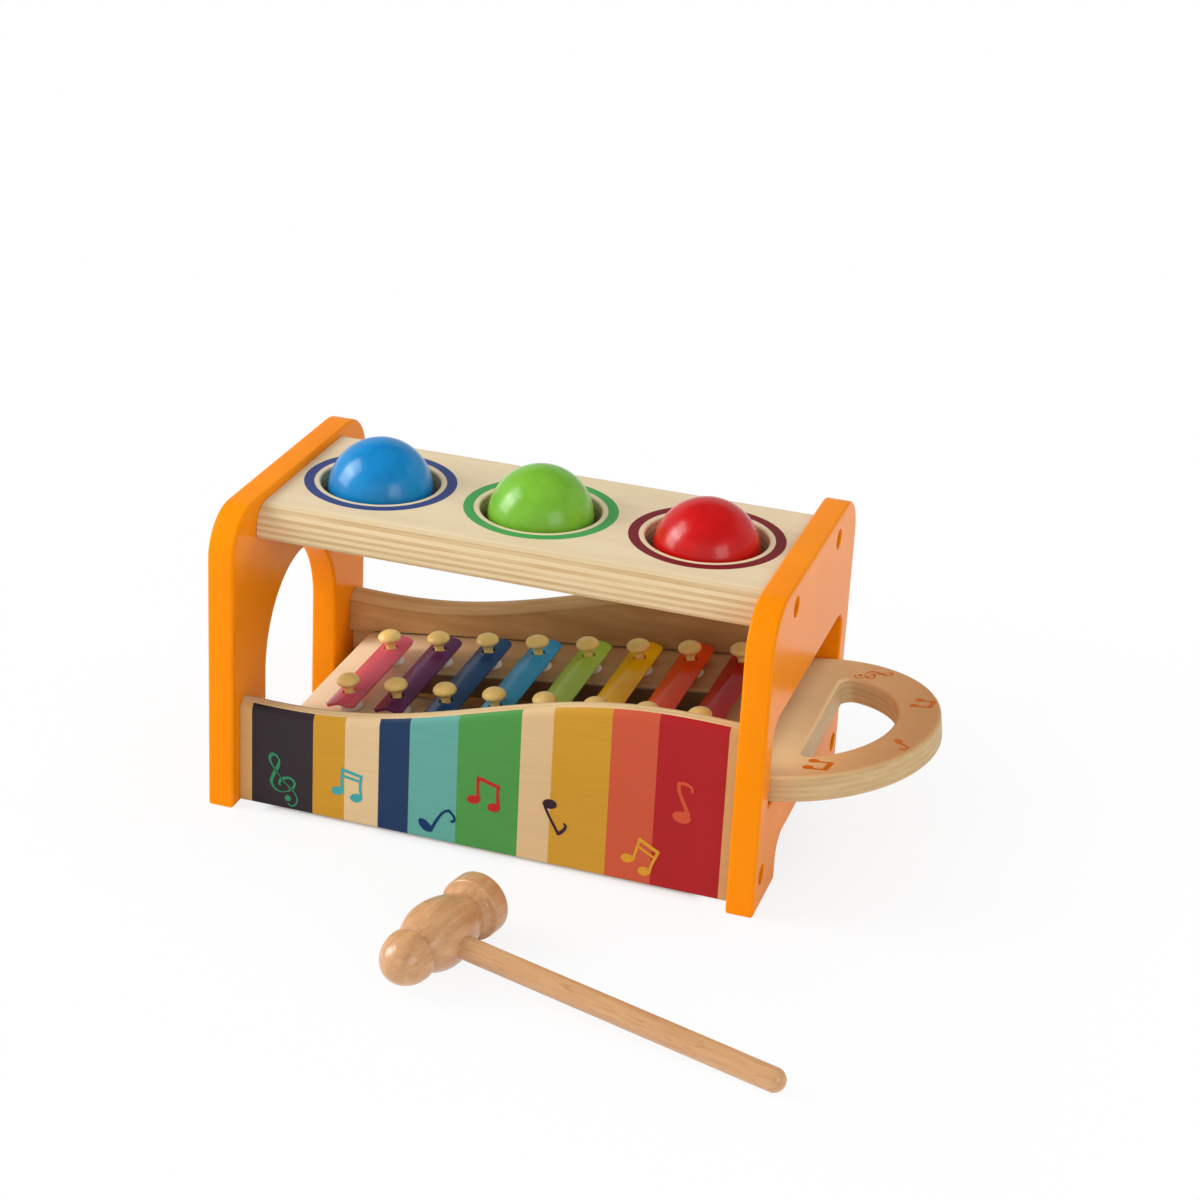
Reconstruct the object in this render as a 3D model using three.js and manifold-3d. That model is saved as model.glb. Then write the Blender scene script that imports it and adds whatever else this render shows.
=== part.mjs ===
// A pounding bench. Three balls sit in a top board above a sloping tray of ringing keys.
// A struck ball drops on the keys, rolls down them and leaves through the archway on the left.
// The tray slides out by its handle and plays by itself. The hammer lies on the floor in front.
// Millimetres. X runs along the bench to the tray's handle, Y to the back and Z up.

import * as THREE from 'three';
import { mergeVertices } from 'three/addons/utils/BufferGeometryUtils.js';
import Module from 'manifold-3d';

const wasm = await Module();
wasm.setup();

// Side panels
const innerLength = 215.5;
const panelThickness = 11.6;
const panelDepth = 142;
const panelHeight = 132.5;
const panelCornerRadius = 20;
const panelEdgeRound = 1.3;

// Archway in the left panel, where the balls roll out
const archWidth = 75;
const archStraight = 50;
const archRise = 41;

// Recess between the feet of the right panel
const recessWidth = 74.5;
const recessHeight = 18;
const recessCornerRadius = 8;

// Top board
const boardThickness = 14;
const boardDepth = 96.5;
const boardSetDown = 3.2;
const boardEdgeRound = 9;
const boardLowerRound = 1.5;

// Balls, their holes and the rubber sheet that grips them from below
const ballDiameter = 45;
const ballHoleDiameter = 51;
const ballEndMargin = 10.25;
const ballSeatDepths = { blue: 3.6, green: 3.6, red: 6 };
const gripPocketDepth = 3;
const gripThickness = 2.4;
const gripMargin = 7;

// Front and back panels, with a waved top edge that climbs beside the tray
const wallThickness = 10;
const wallSetback = 6.5;
const wallFloorGap = 1;
const wallOuterRound = 4;
const wallInnerRound = 5.5;
const waveBase = 21.7;
const waveHeight = 6.4;
const waveLength = 231;
const waveStart = -2.2;

// Sliding tray with its looped handle
const traySlope = THREE.MathUtils.degToRad(7.4);
const trayMidHeight = 42.1;
const trayThickness = 11.5;
const trayTailGap = 9.75;
const trayCornerRadius = 6;
const trayEdgeRound = 1.6;
const handleReach = 55.6;
const handleGap = 6.2;
const handleGripWidth = 18;
const handleCornerRadius = 4;
const windowPegMargin = 6.5;
const windowPastLastKey = 5;
const windowCornerRadius = 4;

// Groove that carries the tray, and the slot that it leaves by
const grooveDepth = 3.9;
const grooveHeadroom = 0.6;
const traySideClearance = 0.4;
const slotSideClearance = 1;
const slotFloorClearance = 1;
const slotHeadroom = 6.8;
const slotCornerRadius = 8;

// Keys: arched metal strips with short round corners, longest beside the handle
const keyColours = {
  pink: 0xd65a86, purple: 0x6a3a86, navy: 0x24508f, sky: 0x2f9ccf,
  green: 0x86bc4c, yellow: 0xf0b428, orange: 0xe2592c, crimson: 0xa81f22,
};
const keyWidth = 13.6;
const keyThickness = 1.4;
const keyCrown = 1.9;
const keyCornerRadius = 3;
const keyHoleDiameter = 6.2;
const keyEndClearance = 4.9;
const keyLengthStep = 3.9;
const keyRowStart = 24;
const keyRowEnd = 24.05;

// Pegs and the soft spacers that hold the keys off the tray
const pegWallClearance = 21.6;
const pegRowStep = 2.65;
const pegShankDiameter = 4;
const pegDepth = 8;
const pegNeckDiameter = 5;
const pegHeadDiameter = 10.2;
const pegHeadHeight = 5.6;
const pegNeckLength = 2.1;
const spacerHeight = 5.2;
const spacerBaseDiameter = 10.8;
const spacerTopDiameter = 8.4;

// Screws through the side panels
const screwShankDiameter = 4;
const screwHeadDiameter = 8;
const screwHeadHeight = 2.6;
const screwHeadSink = 1.6;
const screwBite = 20;
const boardScrewInset = 11.75;
const wallScrewHeight = 15;

// Hammer: a turned head on a dowel
const hammerLength = 64;
const hammerFaceRadius = 12.9;
const hammerFaceHeight = 9.2;
const hammerLowerNeckRadius = 9.3;
const hammerLowerNeckAt = 12.9;
const hammerBarrelRadius = 13.6;
const hammerBarrelAt = 32;
const hammerUpperNeckRadius = 8;
const hammerUpperNeckAt = 47.9;
const hammerDomeRadius = 10.7;
const hammerDomeAt = 49.2;
const hammerEdgeRound = 1.2;
const hammerHandleRadius = 4.75;
const hammerHandleReach = 150;
const hammerTenonPastAxis = 6;
const hammerAcross = 15;
const hammerStandOff = 81;
const hammerTurn = THREE.MathUtils.degToRad(-12);

// Clearances
const glueGap = 0.2;
const fitGap = 0.3;

// Facets: how far a chord may fall inside its arc, and counts for what that doesn't settle
const arcSag = 0.2;
const ballDetail = 4;
const edgeFacets = 2;
const wallSteps = 26;

// Places worked out from the sizes above
const halfLength = innerLength / 2;
const outerFace = halfLength + panelThickness;
const boardTop = panelHeight - boardSetDown;
const boardMiddle = boardTop - boardThickness / 2;
const ballRadius = ballDiameter / 2;
const ballHoleRadius = ballHoleDiameter / 2;
const ballPitch = halfLength - ballEndMargin - ballHoleRadius;
const gripTop = boardTop - boardThickness + gripPocketDepth;
const wallOuterFace = panelDepth / 2 - wallSetback;
const wallInnerFace = wallOuterFace - wallThickness;
const grooveFloor = wallInnerFace + grooveDepth;
const trayHalfWidth = grooveFloor - traySideClearance;
const trayTail = -(halfLength - trayTailGap) / Math.cos(traySlope);
const trayAtOuterFace = outerFace / Math.cos(traySlope);
const handleCentre = trayAtOuterFace + handleReach - trayHalfWidth;
const keyNames = Object.keys(keyColours);
const lastKey = keyNames.length - 1;
const keyRowFirst = trayTail + keyRowStart;
const keyRowLast = halfLength / Math.cos(traySlope) - keyRowEnd;
const keyPitch = (keyRowLast - keyRowFirst) / lastKey;
const spacerBottom = fitGap;
const keyUnderside = spacerBottom + spacerHeight + fitGap - keyArch(spacerTopDiameter / 2);
const keyCrest = keyUnderside + keyCrown + keyThickness;
const pegHeadBottom = keyCrest + pegNeckLength;
const pegTop = pegHeadBottom + pegHeadHeight;

const trayFrame = new THREE.Matrix4().makeRotationY(-traySlope).setPosition(0, 0, trayMidHeight);
const acrossFrame = new THREE.Matrix4().makeBasis(
  new THREE.Vector3(0, 1, 0),
  new THREE.Vector3(0, 0, 1),
  new THREE.Vector3(1, 0, 0),
);

function trayTopAt(x) {
  return trayMidHeight + x * Math.tan(traySlope);
}

function wallTopAt(x) {
  const phase = (2 * Math.PI * (x - waveStart)) / waveLength;
  return trayTopAt(x) + waveBase + waveHeight * Math.sin(phase);
}

function keyPlace(index) {
  return keyRowFirst + index * keyPitch;
}

function keyHalfLength(index) {
  return wallInnerFace - keyEndClearance - ((lastKey - index) * keyLengthStep) / 2;
}

function pegReach(index) {
  return wallInnerFace - pegWallClearance - ((lastKey - index) * pegRowStep) / 2;
}

// Welds a geometry's shared corners and drops the triangles that closed up at an axis.
function welded(geometry) {
  const bare = new THREE.BufferGeometry();
  bare.setAttribute('position', geometry.attributes.position);
  bare.setIndex(geometry.index);
  const merged = mergeVertices(bare);
  const corners = Array.from(merged.index.array);
  const kept = [];
  for (let i = 0; i < corners.length; i += 3) {
    const [a, b, c] = corners.slice(i, i + 3);
    if (a !== b && b !== c && c !== a) kept.push(a, b, c);
  }
  merged.setIndex(kept);
  return merged;
}

function solidOf(geometry) {
  const closed = welded(geometry);
  const vertProperties = new Float32Array(closed.attributes.position.array);
  const triVerts = new Uint32Array(closed.index.array);
  return new wasm.Manifold(new wasm.Mesh({ numProp: 3, vertProperties, triVerts }));
}

function cut(geometry, cutters) {
  let solid = solidOf(geometry);
  for (const cutter of cutters) {
    solid = solid.subtract(solidOf(cutter));
  }
  const mesh = solid.getMesh();
  const result = new THREE.BufferGeometry();
  result.setAttribute('position', new THREE.BufferAttribute(mesh.vertProperties, 3));
  result.setIndex(new THREE.BufferAttribute(mesh.triVerts, 1));
  return result;
}

function piece(name, geometry, color, roughness, metalness = 0) {
  const material = new THREE.MeshStandardMaterial({ color, roughness, metalness });
  const mesh = new THREE.Mesh(welded(geometry), material);
  mesh.name = name;
  return mesh;
}

// A flat plate of a drawn outline, with its edges rounded by the given radius.
function plate(shape, thickness, edgeRound) {
  const geometry = new THREE.ExtrudeGeometry(shape, {
    depth: thickness - 2 * edgeRound,
    bevelEnabled: edgeRound > 0,
    bevelThickness: edgeRound,
    bevelSize: edgeRound,
    bevelOffset: -edgeRound,
    bevelSegments: edgeFacets,
  });
  return geometry.translate(0, 0, edgeRound);
}

// A skin through sections of equal point counts, wound anticlockwise, each at its own height in Z.
function loft(sections) {
  const count = sections[0].outline.length;
  const positions = sections.flatMap(({ outline, at }) => outline.flatMap((p) => [p.x, p.y, at]));
  const corners = [];
  for (let s = 0; s + 1 < sections.length; s += 1) {
    for (let i = 0; i < count; i += 1) {
      const a = s * count + i;
      const b = s * count + ((i + 1) % count);
      corners.push(a, b, b + count, a, b + count, a + count);
    }
  }
  const top = (sections.length - 1) * count;
  for (const [a, b, c] of THREE.ShapeUtils.triangulateShape(sections[0].outline, [])) {
    corners.push(c, b, a, top + a, top + b, top + c);
  }
  const geometry = new THREE.BufferGeometry();
  geometry.setAttribute('position', new THREE.Float32BufferAttribute(positions, 3));
  geometry.setIndex(corners);
  return geometry;
}

function facetsFor(radius, sweep) {
  return Math.ceil(Math.abs(sweep) / (2 * Math.acos(1 - arcSag / Math.max(radius, 2 * arcSag))));
}

// A turned solid about Z, from its profile of radius and height, lowest point first.
function turned(profile) {
  const points = profile.map(([radius, height]) => new THREE.Vector2(radius, height));
  const widest = Math.max(...profile.map(([radius]) => radius));
  return new THREE.LatheGeometry(points, facetsFor(widest, 2 * Math.PI)).rotateX(Math.PI / 2);
}

function rod(radius, bottom, top) {
  return turned([[0, bottom], [radius, bottom], [radius, top], [0, top]]);
}

// Points along an arc, its angles in quarter turns. A second radius makes it an ellipse.
function arc(x, y, radius, from, to, radiusY = radius) {
  const facets = facetsFor(Math.max(radius, radiusY), ((to - from) * Math.PI) / 2);
  return Array.from({ length: facets + 1 }, (_, step) => {
    const angle = ((from + ((to - from) * step) / facets) * Math.PI) / 2;
    return new THREE.Vector2(x + radius * Math.cos(angle), y + radiusY * Math.sin(angle));
  });
}

function roundedRectangle(left, bottom, right, top, lowerRadius, upperRadius = lowerRadius) {
  return [
    ...arc(right - lowerRadius, bottom + lowerRadius, lowerRadius, -1, 0),
    ...arc(right - upperRadius, top - upperRadius, upperRadius, 0, 1),
    ...arc(left + upperRadius, top - upperRadius, upperRadius, 1, 2),
    ...arc(left + lowerRadius, bottom + lowerRadius, lowerRadius, 2, 3),
  ];
}

// Side panels. Each outline is drawn in Y and Z.
function panelOutline(footGap) {
  const half = panelDepth / 2;
  const inset = half - panelCornerRadius;
  const shoulder = panelHeight - panelCornerRadius;
  return new THREE.Shape([
    new THREE.Vector2(-half, 0),
    ...footGap,
    new THREE.Vector2(half, 0),
    ...arc(inset, shoulder, panelCornerRadius, 0, 1),
    ...arc(-inset, shoulder, panelCornerRadius, 1, 2),
  ]);
}

function archway() {
  const half = archWidth / 2;
  return [
    new THREE.Vector2(-half, 0),
    ...arc(0, archStraight, half, 2, 0, archRise),
    new THREE.Vector2(half, 0),
  ];
}

function footRecess() {
  const half = recessWidth / 2;
  const inset = half - recessCornerRadius;
  const shoulder = recessHeight - recessCornerRadius;
  return [
    new THREE.Vector2(-half, 0),
    ...arc(-inset, shoulder, recessCornerRadius, 2, 1),
    ...arc(inset, shoulder, recessCornerRadius, 1, 0),
    new THREE.Vector2(half, 0),
  ];
}

function traySlot() {
  const half = trayHalfWidth + slotSideClearance;
  const rise = 1 / Math.cos(traySlope);
  const bottom = trayTopAt(halfLength) - trayThickness * rise - slotFloorClearance;
  const top = trayTopAt(outerFace) + pegTop * rise + slotHeadroom;
  const outline = roundedRectangle(-half, bottom, half, top, slotFloorClearance, slotCornerRadius);
  return new THREE.Path(outline);
}

// Screw places in Y and Z: two into each end of the top board, one into each front or back panel.
const screwSpots = {
  board_front: [screwInsetFromCentre(-1), boardMiddle],
  board_back: [screwInsetFromCentre(1), boardMiddle],
  wall_front: [-(wallOuterFace - (wallThickness - grooveDepth) / 2), wallScrewHeight],
  wall_back: [wallOuterFace - (wallThickness - grooveDepth) / 2, wallScrewHeight],
};

function screwInsetFromCentre(side) {
  return side * (boardDepth / 2 - boardScrewInset);
}

// A screw's height along X is measured from the panel's outer face, into the bench.
const screwSeat = panelThickness - (screwHeadSink + screwHeadHeight);

function screwPlace(geometry, side, [y, z]) {
  return geometry.rotateY((side * Math.PI) / 2).translate(side * halfLength, y, z);
}

function screw(side, spot) {
  const shank = screwShankDiameter / 2;
  const head = screwHeadDiameter / 2;
  const profile = [
    [0, -screwBite],
    [shank / 2, -screwBite],
    [shank, -screwBite + screwShankDiameter],
    [shank, screwSeat + fitGap],
    [head, screwSeat + fitGap],
    [head, screwSeat + screwHeadHeight],
    [0, screwSeat + screwHeadHeight],
  ];
  return screwPlace(turned(profile), side, spot);
}

function screwHole(side, spot) {
  const shank = screwShankDiameter / 2 + fitGap;
  const head = screwHeadDiameter / 2 + fitGap;
  const profile = [
    [0, -screwBite - fitGap],
    [shank, -screwBite - fitGap],
    [shank, screwSeat],
    [head, screwSeat],
    [head, panelThickness + fitGap],
    [0, panelThickness + fitGap],
  ];
  return screwPlace(turned(profile), side, spot);
}

function screwHoles(sides) {
  return sides.flatMap((side) => Object.values(screwSpots).map((spot) => screwHole(side, spot)));
}

function sidePanel(shape, side) {
  const standing = plate(shape, panelThickness, panelEdgeRound).applyMatrix4(acrossFrame);
  standing.translate(side > 0 ? halfLength : -outerFace, 0, 0);
  return cut(standing, screwHoles([side]));
}

// Top board, drawn in Y and Z and run along X between the side panels.
function topBoard() {
  const half = boardDepth / 2;
  const bottom = boardTop - boardThickness;
  const shape = new THREE.Shape(
    roundedRectangle(-half, bottom, half, boardTop, boardLowerRound, boardEdgeRound),
  );
  const length = innerLength - 2 * glueGap;
  const board = plate(shape, length, 0).applyMatrix4(acrossFrame).translate(-length / 2, 0, 0);
  const holes = ballPlaces.map(({ x }) => (
    rod(ballHoleRadius, bottom - fitGap, boardTop + fitGap).translate(x, 0, 0)
  ));
  return cut(board, [...holes, gripPocket(bottom), ...screwHoles([-1, 1])]);
}

function gripHalfSizes(clearance) {
  const reach = ballHoleRadius + gripMargin + clearance;
  return { x: ballPitch + reach, y: reach };
}

function gripPocket(boardBottom) {
  const half = gripHalfSizes(fitGap);
  const depth = gripPocketDepth + fitGap;
  const pocket = new THREE.BoxGeometry(2 * half.x, 2 * half.y, depth);
  return pocket.translate(0, 0, boardBottom - fitGap + depth / 2);
}

const ballPlaces = Object.entries(ballSeatDepths).map(([colour, depth], index) => ({
  colour,
  x: (index - 1) * ballPitch,
  z: boardTop - depth,
}));

// Rubber sheet glued in the pocket under the board. Each hole's lip is stretched round its ball.
function gripSheet() {
  const half = gripHalfSizes(0);
  const shape = new THREE.Shape(roundedRectangle(-half.x, -half.y, half.x, half.y, gripMargin));
  for (const { x, z } of ballPlaces) {
    const lip = Math.sqrt(ballRadius ** 2 - (z - gripTop) ** 2) + fitGap;
    shape.holes.push(new THREE.Path(arc(x, 0, lip, 0, 4).slice(1)));
  }
  return plate(shape, gripThickness, 0).translate(0, 0, gripTop - fitGap - gripThickness);
}

// Front and back panels: a section in Y and Z carried along X, its top following the wave.
function wallOutline(x) {
  const top = wallTopAt(x);
  return [
    new THREE.Vector2(-wallOuterFace, wallFloorGap),
    new THREE.Vector2(-wallInnerFace, wallFloorGap),
    ...arc(-wallInnerFace - wallInnerRound, top - wallInnerRound, wallInnerRound, 0, 1),
    ...arc(-wallOuterFace + wallOuterRound, top - wallOuterRound, wallOuterRound, 1, 2),
  ];
}

function wallPanel(side) {
  const half = halfLength - glueGap;
  const sections = [];
  for (let step = 0; step <= wallSteps; step += 1) {
    const x = half * ((2 * step) / wallSteps - 1);
    const front = wallOutline(x);
    const mirrored = front.map((p) => new THREE.Vector2(-p.x, p.y)).reverse();
    sections.push({ at: x, outline: side < 0 ? front : mirrored });
  }
  const wall = loft(sections).applyMatrix4(acrossFrame);
  return cut(wall, [trayGroove(side), ...screwHoles([-1, 1])]);
}

function trayGroove(side) {
  const depth = grooveDepth + fitGap;
  const height = trayThickness + grooveHeadroom + fitGap;
  const groove = new THREE.BoxGeometry(2 * innerLength, depth, height);
  groove.translate(0, side * (grooveFloor - depth / 2), grooveHeadroom - height / 2);
  return groove.applyMatrix4(trayFrame);
}

// Tray and everything on it are drawn in the tray's own frame, with its top face at zero.
function tray() {
  const corner = trayTail + trayCornerRadius;
  const inset = trayHalfWidth - trayCornerRadius;
  const shape = new THREE.Shape([
    ...arc(corner, -inset, trayCornerRadius, 2, 3),
    ...arc(handleCentre, 0, trayHalfWidth, -1, 1),
    ...arc(corner, inset, trayCornerRadius, 1, 2),
  ]);
  shape.holes.push(handleHole(), trayWindow());
  const board = plate(shape, trayThickness, trayEdgeRound).translate(0, 0, -trayThickness);
  return cut(board, pegPlaces.map(pegHole));
}

// The handle's D-shaped hole, concentric with its rounded end.
function handleHole() {
  const radius = trayHalfWidth - handleGripWidth;
  const across = trayAtOuterFace + handleGap + handleCornerRadius;
  const up = Math.sqrt((radius - handleCornerRadius) ** 2 - (across - handleCentre) ** 2);
  const turn = Math.atan2(up, across - handleCentre) / (Math.PI / 2);
  return new THREE.Path([
    ...arc(across, -up, handleCornerRadius, 2, 4 - turn),
    ...arc(handleCentre, 0, radius, -turn, turn).slice(1, -1),
    ...arc(across, up, handleCornerRadius, turn, 2),
  ]);
}

// The sounding window under the keys, between the two rows of pegs.
function trayWindow() {
  const half = pegReach(0) - windowPegMargin;
  const start = keyPlace(0) + keyPitch / 2;
  const end = keyPlace(lastKey) + windowPastLastKey;
  return new THREE.Path(roundedRectangle(start, -half, end, half, windowCornerRadius));
}

const pegPlaces = keyNames.flatMap((colour, index) => [
  { row: 'back', number: index + 1, x: keyPlace(index), y: pegReach(index) },
  { row: 'front', number: index + 1, x: keyPlace(index), y: -pegReach(index) },
]);

function pegHole({ x, y }) {
  const radius = pegShankDiameter / 2 + fitGap;
  return rod(radius, -pegDepth - fitGap, fitGap).translate(x, y, 0);
}

function peg({ x, y }) {
  const shank = pegShankDiameter / 2;
  const head = pegHeadDiameter / 2;
  const profile = [
    [0, -pegDepth],
    [shank, -pegDepth],
    [shank, keyCrest],
    [pegNeckDiameter / 2, pegHeadBottom],
    [0.85 * head, pegHeadBottom + 0.18 * pegHeadHeight],
    [head, pegHeadBottom + 0.48 * pegHeadHeight],
    [0.8 * head, pegHeadBottom + 0.8 * pegHeadHeight],
    [0.42 * head, pegHeadBottom + 0.96 * pegHeadHeight],
    [0, pegTop],
  ];
  return turned(profile).translate(x, y, 0);
}

function spacer({ x, y }) {
  const bore = pegShankDiameter / 2 + fitGap;
  const top = spacerBottom + spacerHeight;
  const profile = [
    [bore, spacerBottom],
    [spacerBaseDiameter / 2, spacerBottom],
    [spacerTopDiameter / 2, top],
    [bore, top],
    [bore, spacerBottom],
  ];
  return turned(profile).translate(x, y, 0);
}

// A key: a strip arched across its width, with rounded corners and a hole for each peg.
function keyStrip(index) {
  const half = keyHalfLength(index);
  const roundFrom = half - keyCornerRadius;
  const stations = [0, 0.45, 0.8, 1].map((share) => roundFrom + share * keyCornerRadius);
  const along = [...stations.map((y) => -y).reverse(), ...stations];
  const sections = along.map((y) => ({ at: y, outline: keySection(Math.abs(y), roundFrom) }));
  const upright = new THREE.Matrix4().makeRotationX(Math.PI / 2);
  const strip = loft(sections).applyMatrix4(upright).translate(keyPlace(index), 0, keyUnderside);
  const holes = [-1, 1].map((side) => (
    rod(keyHoleDiameter / 2, 0, keyCrest + fitGap)
      .translate(keyPlace(index), side * pegReach(index), 0)
  ));
  return cut(strip, holes);
}

function keySection(y, roundFrom) {
  const past = Math.max(y - roundFrom, 0);
  const lost = keyCornerRadius - Math.sqrt(keyCornerRadius ** 2 - past ** 2);
  const half = keyWidth / 2 - lost;
  const across = [-1, -0.7, -0.35, 0, 0.35, 0.7, 1];
  const under = across.map((share) => new THREE.Vector2(share * half, keyArch(share * half)));
  const over = under.map((p) => new THREE.Vector2(p.x, p.y + keyThickness)).reverse();
  return [...under, ...over];
}

// How far a key's underside rises above its edges, at a distance from its middle.
function keyArch(x) {
  return keyCrown * (1 - (x / (keyWidth / 2)) ** 2);
}

// Hammer head, turned about its own axis with the striking face at zero.
function hammerHead() {
  const round = hammerEdgeRound;
  const barrel = [0.2, 0.45, 0.7, 1, 1.3, 1.55, 1.8].map((turn) => {
    const lower = turn <= 1;
    const neckAt = lower ? hammerLowerNeckAt : hammerUpperNeckAt;
    const neck = lower ? hammerLowerNeckRadius : hammerUpperNeckRadius;
    const swell = Math.sin((turn * Math.PI) / 2);
    const along = hammerBarrelAt + (hammerBarrelAt - neckAt) * (turn - 1) * (lower ? 1 : -1);
    return [neck + (hammerBarrelRadius - neck) * swell, along];
  });
  const domeHeight = hammerLength - hammerDomeAt - round;
  const dome = [0, 0.3, 0.58, 0.82].map((turn) => [
    hammerDomeRadius * Math.cos((turn * Math.PI) / 2),
    hammerDomeAt + round + domeHeight * Math.sin((turn * Math.PI) / 2),
  ]);
  const profile = [
    [0, 0],
    [hammerFaceRadius - round, 0],
    [hammerFaceRadius, round],
    [hammerFaceRadius, hammerFaceHeight - round],
    [hammerFaceRadius - round, hammerFaceHeight],
    [hammerLowerNeckRadius, hammerLowerNeckAt],
    ...barrel,
    [hammerUpperNeckRadius, hammerUpperNeckAt],
    [hammerDomeRadius - round, hammerDomeAt],
    ...dome,
    [0, hammerLength],
  ];
  const bore = hammerDowel(fitGap, -hammerTenonPastAxis - fitGap, hammerHandleReach);
  return cut(turned(profile), [bore]);
}

function hammerDowel(clearance, from, to) {
  const radius = hammerHandleRadius + clearance;
  return rod(radius, from, to).rotateY(Math.PI / 2).translate(0, 0, hammerBarrelAt);
}

function hammerHandle() {
  const radius = hammerHandleRadius;
  const tip = hammerHandleReach;
  const profile = [
    [0, -hammerTenonPastAxis],
    [radius, -hammerTenonPastAxis],
    [radius, tip - radius],
    [0.8 * radius, tip - 0.35 * radius],
    [0.4 * radius, tip - 0.05 * radius],
    [0, tip],
  ];
  return turned(profile).rotateY(Math.PI / 2).translate(0, 0, hammerBarrelAt);
}

// Finishes
const orangePaint = 0xf58a12;
const birch = 0xe6cfa2;
const beech = 0xd9a66c;
const ballPaint = { blue: 0x1685cc, green: 0x74bf30, red: 0xcc1719 };

const bench = new THREE.Group();
const archPanel = panelOutline(archway());
const slotPanel = panelOutline(footRecess());
slotPanel.holes.push(traySlot());
bench.add(piece('left_side_panel', sidePanel(archPanel, -1), orangePaint, 0.3));
bench.add(piece('right_side_panel', sidePanel(slotPanel, 1), orangePaint, 0.3));
bench.add(piece('top_board', topBoard(), birch, 0.5));
bench.add(piece('grip_sheet', gripSheet(), 0x3a3a38, 0.8));
bench.add(piece('front_panel', wallPanel(-1), 0xd8b070, 0.5));
bench.add(piece('back_panel', wallPanel(1), 0xc79a66, 0.55));
for (const [spotName, spot] of Object.entries(screwSpots)) {
  bench.add(piece(`screw_left_${spotName}`, screw(-1, spot), 0xb98a3c, 0.35, 1));
  bench.add(piece(`screw_right_${spotName}`, screw(1, spot), 0xb98a3c, 0.35, 1));
}

for (const { colour, x, z } of ballPlaces) {
  const ball = piece(`ball_${colour}`, new THREE.IcosahedronGeometry(ballRadius, ballDetail), ballPaint[colour], 0.25);
  ball.position.set(x, 0, z);
  bench.add(ball);
}

const slidingTray = new THREE.Group();
slidingTray.applyMatrix4(trayFrame);
slidingTray.add(piece('tray', tray(), birch, 0.5));
keyNames.forEach((colour, index) => {
  slidingTray.add(piece(`key_${index + 1}_${colour}`, keyStrip(index), keyColours[colour], 0.3, 0.4));
});
for (const place of pegPlaces) {
  slidingTray.add(piece(`peg_${place.row}_${place.number}`, peg(place), 0xe9d38a, 0.35));
  slidingTray.add(piece(`spacer_${place.row}_${place.number}`, spacer(place), 0xf2f1ec, 0.7));
}

// The hammer lies on its barrel, its striking face's rim and the end of its handle.
const hammer = new THREE.Group();
hammer.add(piece('hammer_head', hammerHead(), beech, 0.35));
hammer.add(piece('hammer_handle', hammerHandle(), beech, 0.35));
const laidHammer = new THREE.Group();
const headTilt = Math.atan2(hammerBarrelRadius - hammerFaceRadius, hammerBarrelAt - hammerFaceHeight / 2);
const handleDip = Math.asin((hammerBarrelRadius - hammerHandleRadius) / hammerHandleReach);
hammer.position.set(0, hammerBarrelAt, 0);
hammer.rotation.set(Math.PI / 2, 0, 0);
laidHammer.add(hammer);
laidHammer.rotation.set(-headTilt, handleDip, 0);
const hammerSpot = new THREE.Group();
hammerSpot.add(laidHammer);
hammerSpot.rotation.z = hammerTurn;
hammerSpot.position.set(hammerAcross, -(panelDepth / 2 + hammerStandOff), 0);
hammerSpot.position.z = -new THREE.Box3().setFromObject(hammerSpot, true).min.z;

// The origin is on the floor, under the middle of everything.
const poundingBench = new THREE.Group();
poundingBench.add(bench, slidingTray, hammerSpot);
const extent = new THREE.Box3().setFromObject(poundingBench, true);
const middle = extent.getCenter(new THREE.Vector3());
poundingBench.position.set(-middle.x, -middle.y, -extent.min.z);

export default poundingBench;
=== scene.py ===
# %% [markdown]
# # A pounding bench with a sliding xylophone tray
#
# Three balls sit in the holes of a plywood board. Struck down, a ball falls on a sloping row of
# metal keys, plays them as it rolls and leaves through the archway. This lesson dresses the
# bench's CAD frame piece by piece: painted panels, layered plywood, printed stripes and notes,
# enamelled keys and a turned hammer.

# %% Load the frame
import math

import bmesh
import bpy
import numpy as np
from mathutils import Matrix, Vector
from mathutils.geometry import tessellate_polygon


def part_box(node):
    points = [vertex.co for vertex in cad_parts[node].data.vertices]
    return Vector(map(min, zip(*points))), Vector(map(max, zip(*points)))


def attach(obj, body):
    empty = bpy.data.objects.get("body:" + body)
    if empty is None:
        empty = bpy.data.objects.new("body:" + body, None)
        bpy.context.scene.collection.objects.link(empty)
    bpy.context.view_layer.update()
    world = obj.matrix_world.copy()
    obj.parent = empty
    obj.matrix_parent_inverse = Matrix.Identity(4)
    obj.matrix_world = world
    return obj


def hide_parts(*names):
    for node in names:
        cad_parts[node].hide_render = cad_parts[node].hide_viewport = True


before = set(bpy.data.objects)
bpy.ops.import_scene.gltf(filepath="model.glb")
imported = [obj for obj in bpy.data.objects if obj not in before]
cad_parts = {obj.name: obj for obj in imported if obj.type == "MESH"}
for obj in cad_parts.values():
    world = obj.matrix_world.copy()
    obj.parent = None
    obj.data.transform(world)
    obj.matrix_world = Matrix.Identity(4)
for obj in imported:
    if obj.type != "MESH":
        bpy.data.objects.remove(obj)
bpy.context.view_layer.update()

print("frame nodes:", len(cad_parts))

# %% [markdown]
# ## One set of axes for everything
#
# The frame's origin is under the middle of the bench and hammer together. It is easier to think
# in millimetres from the middle of the bench alone, so the shift between the two is read from
# the side panels. The tray has axes of its own: it slopes, and its top face is its zero height.

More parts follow.
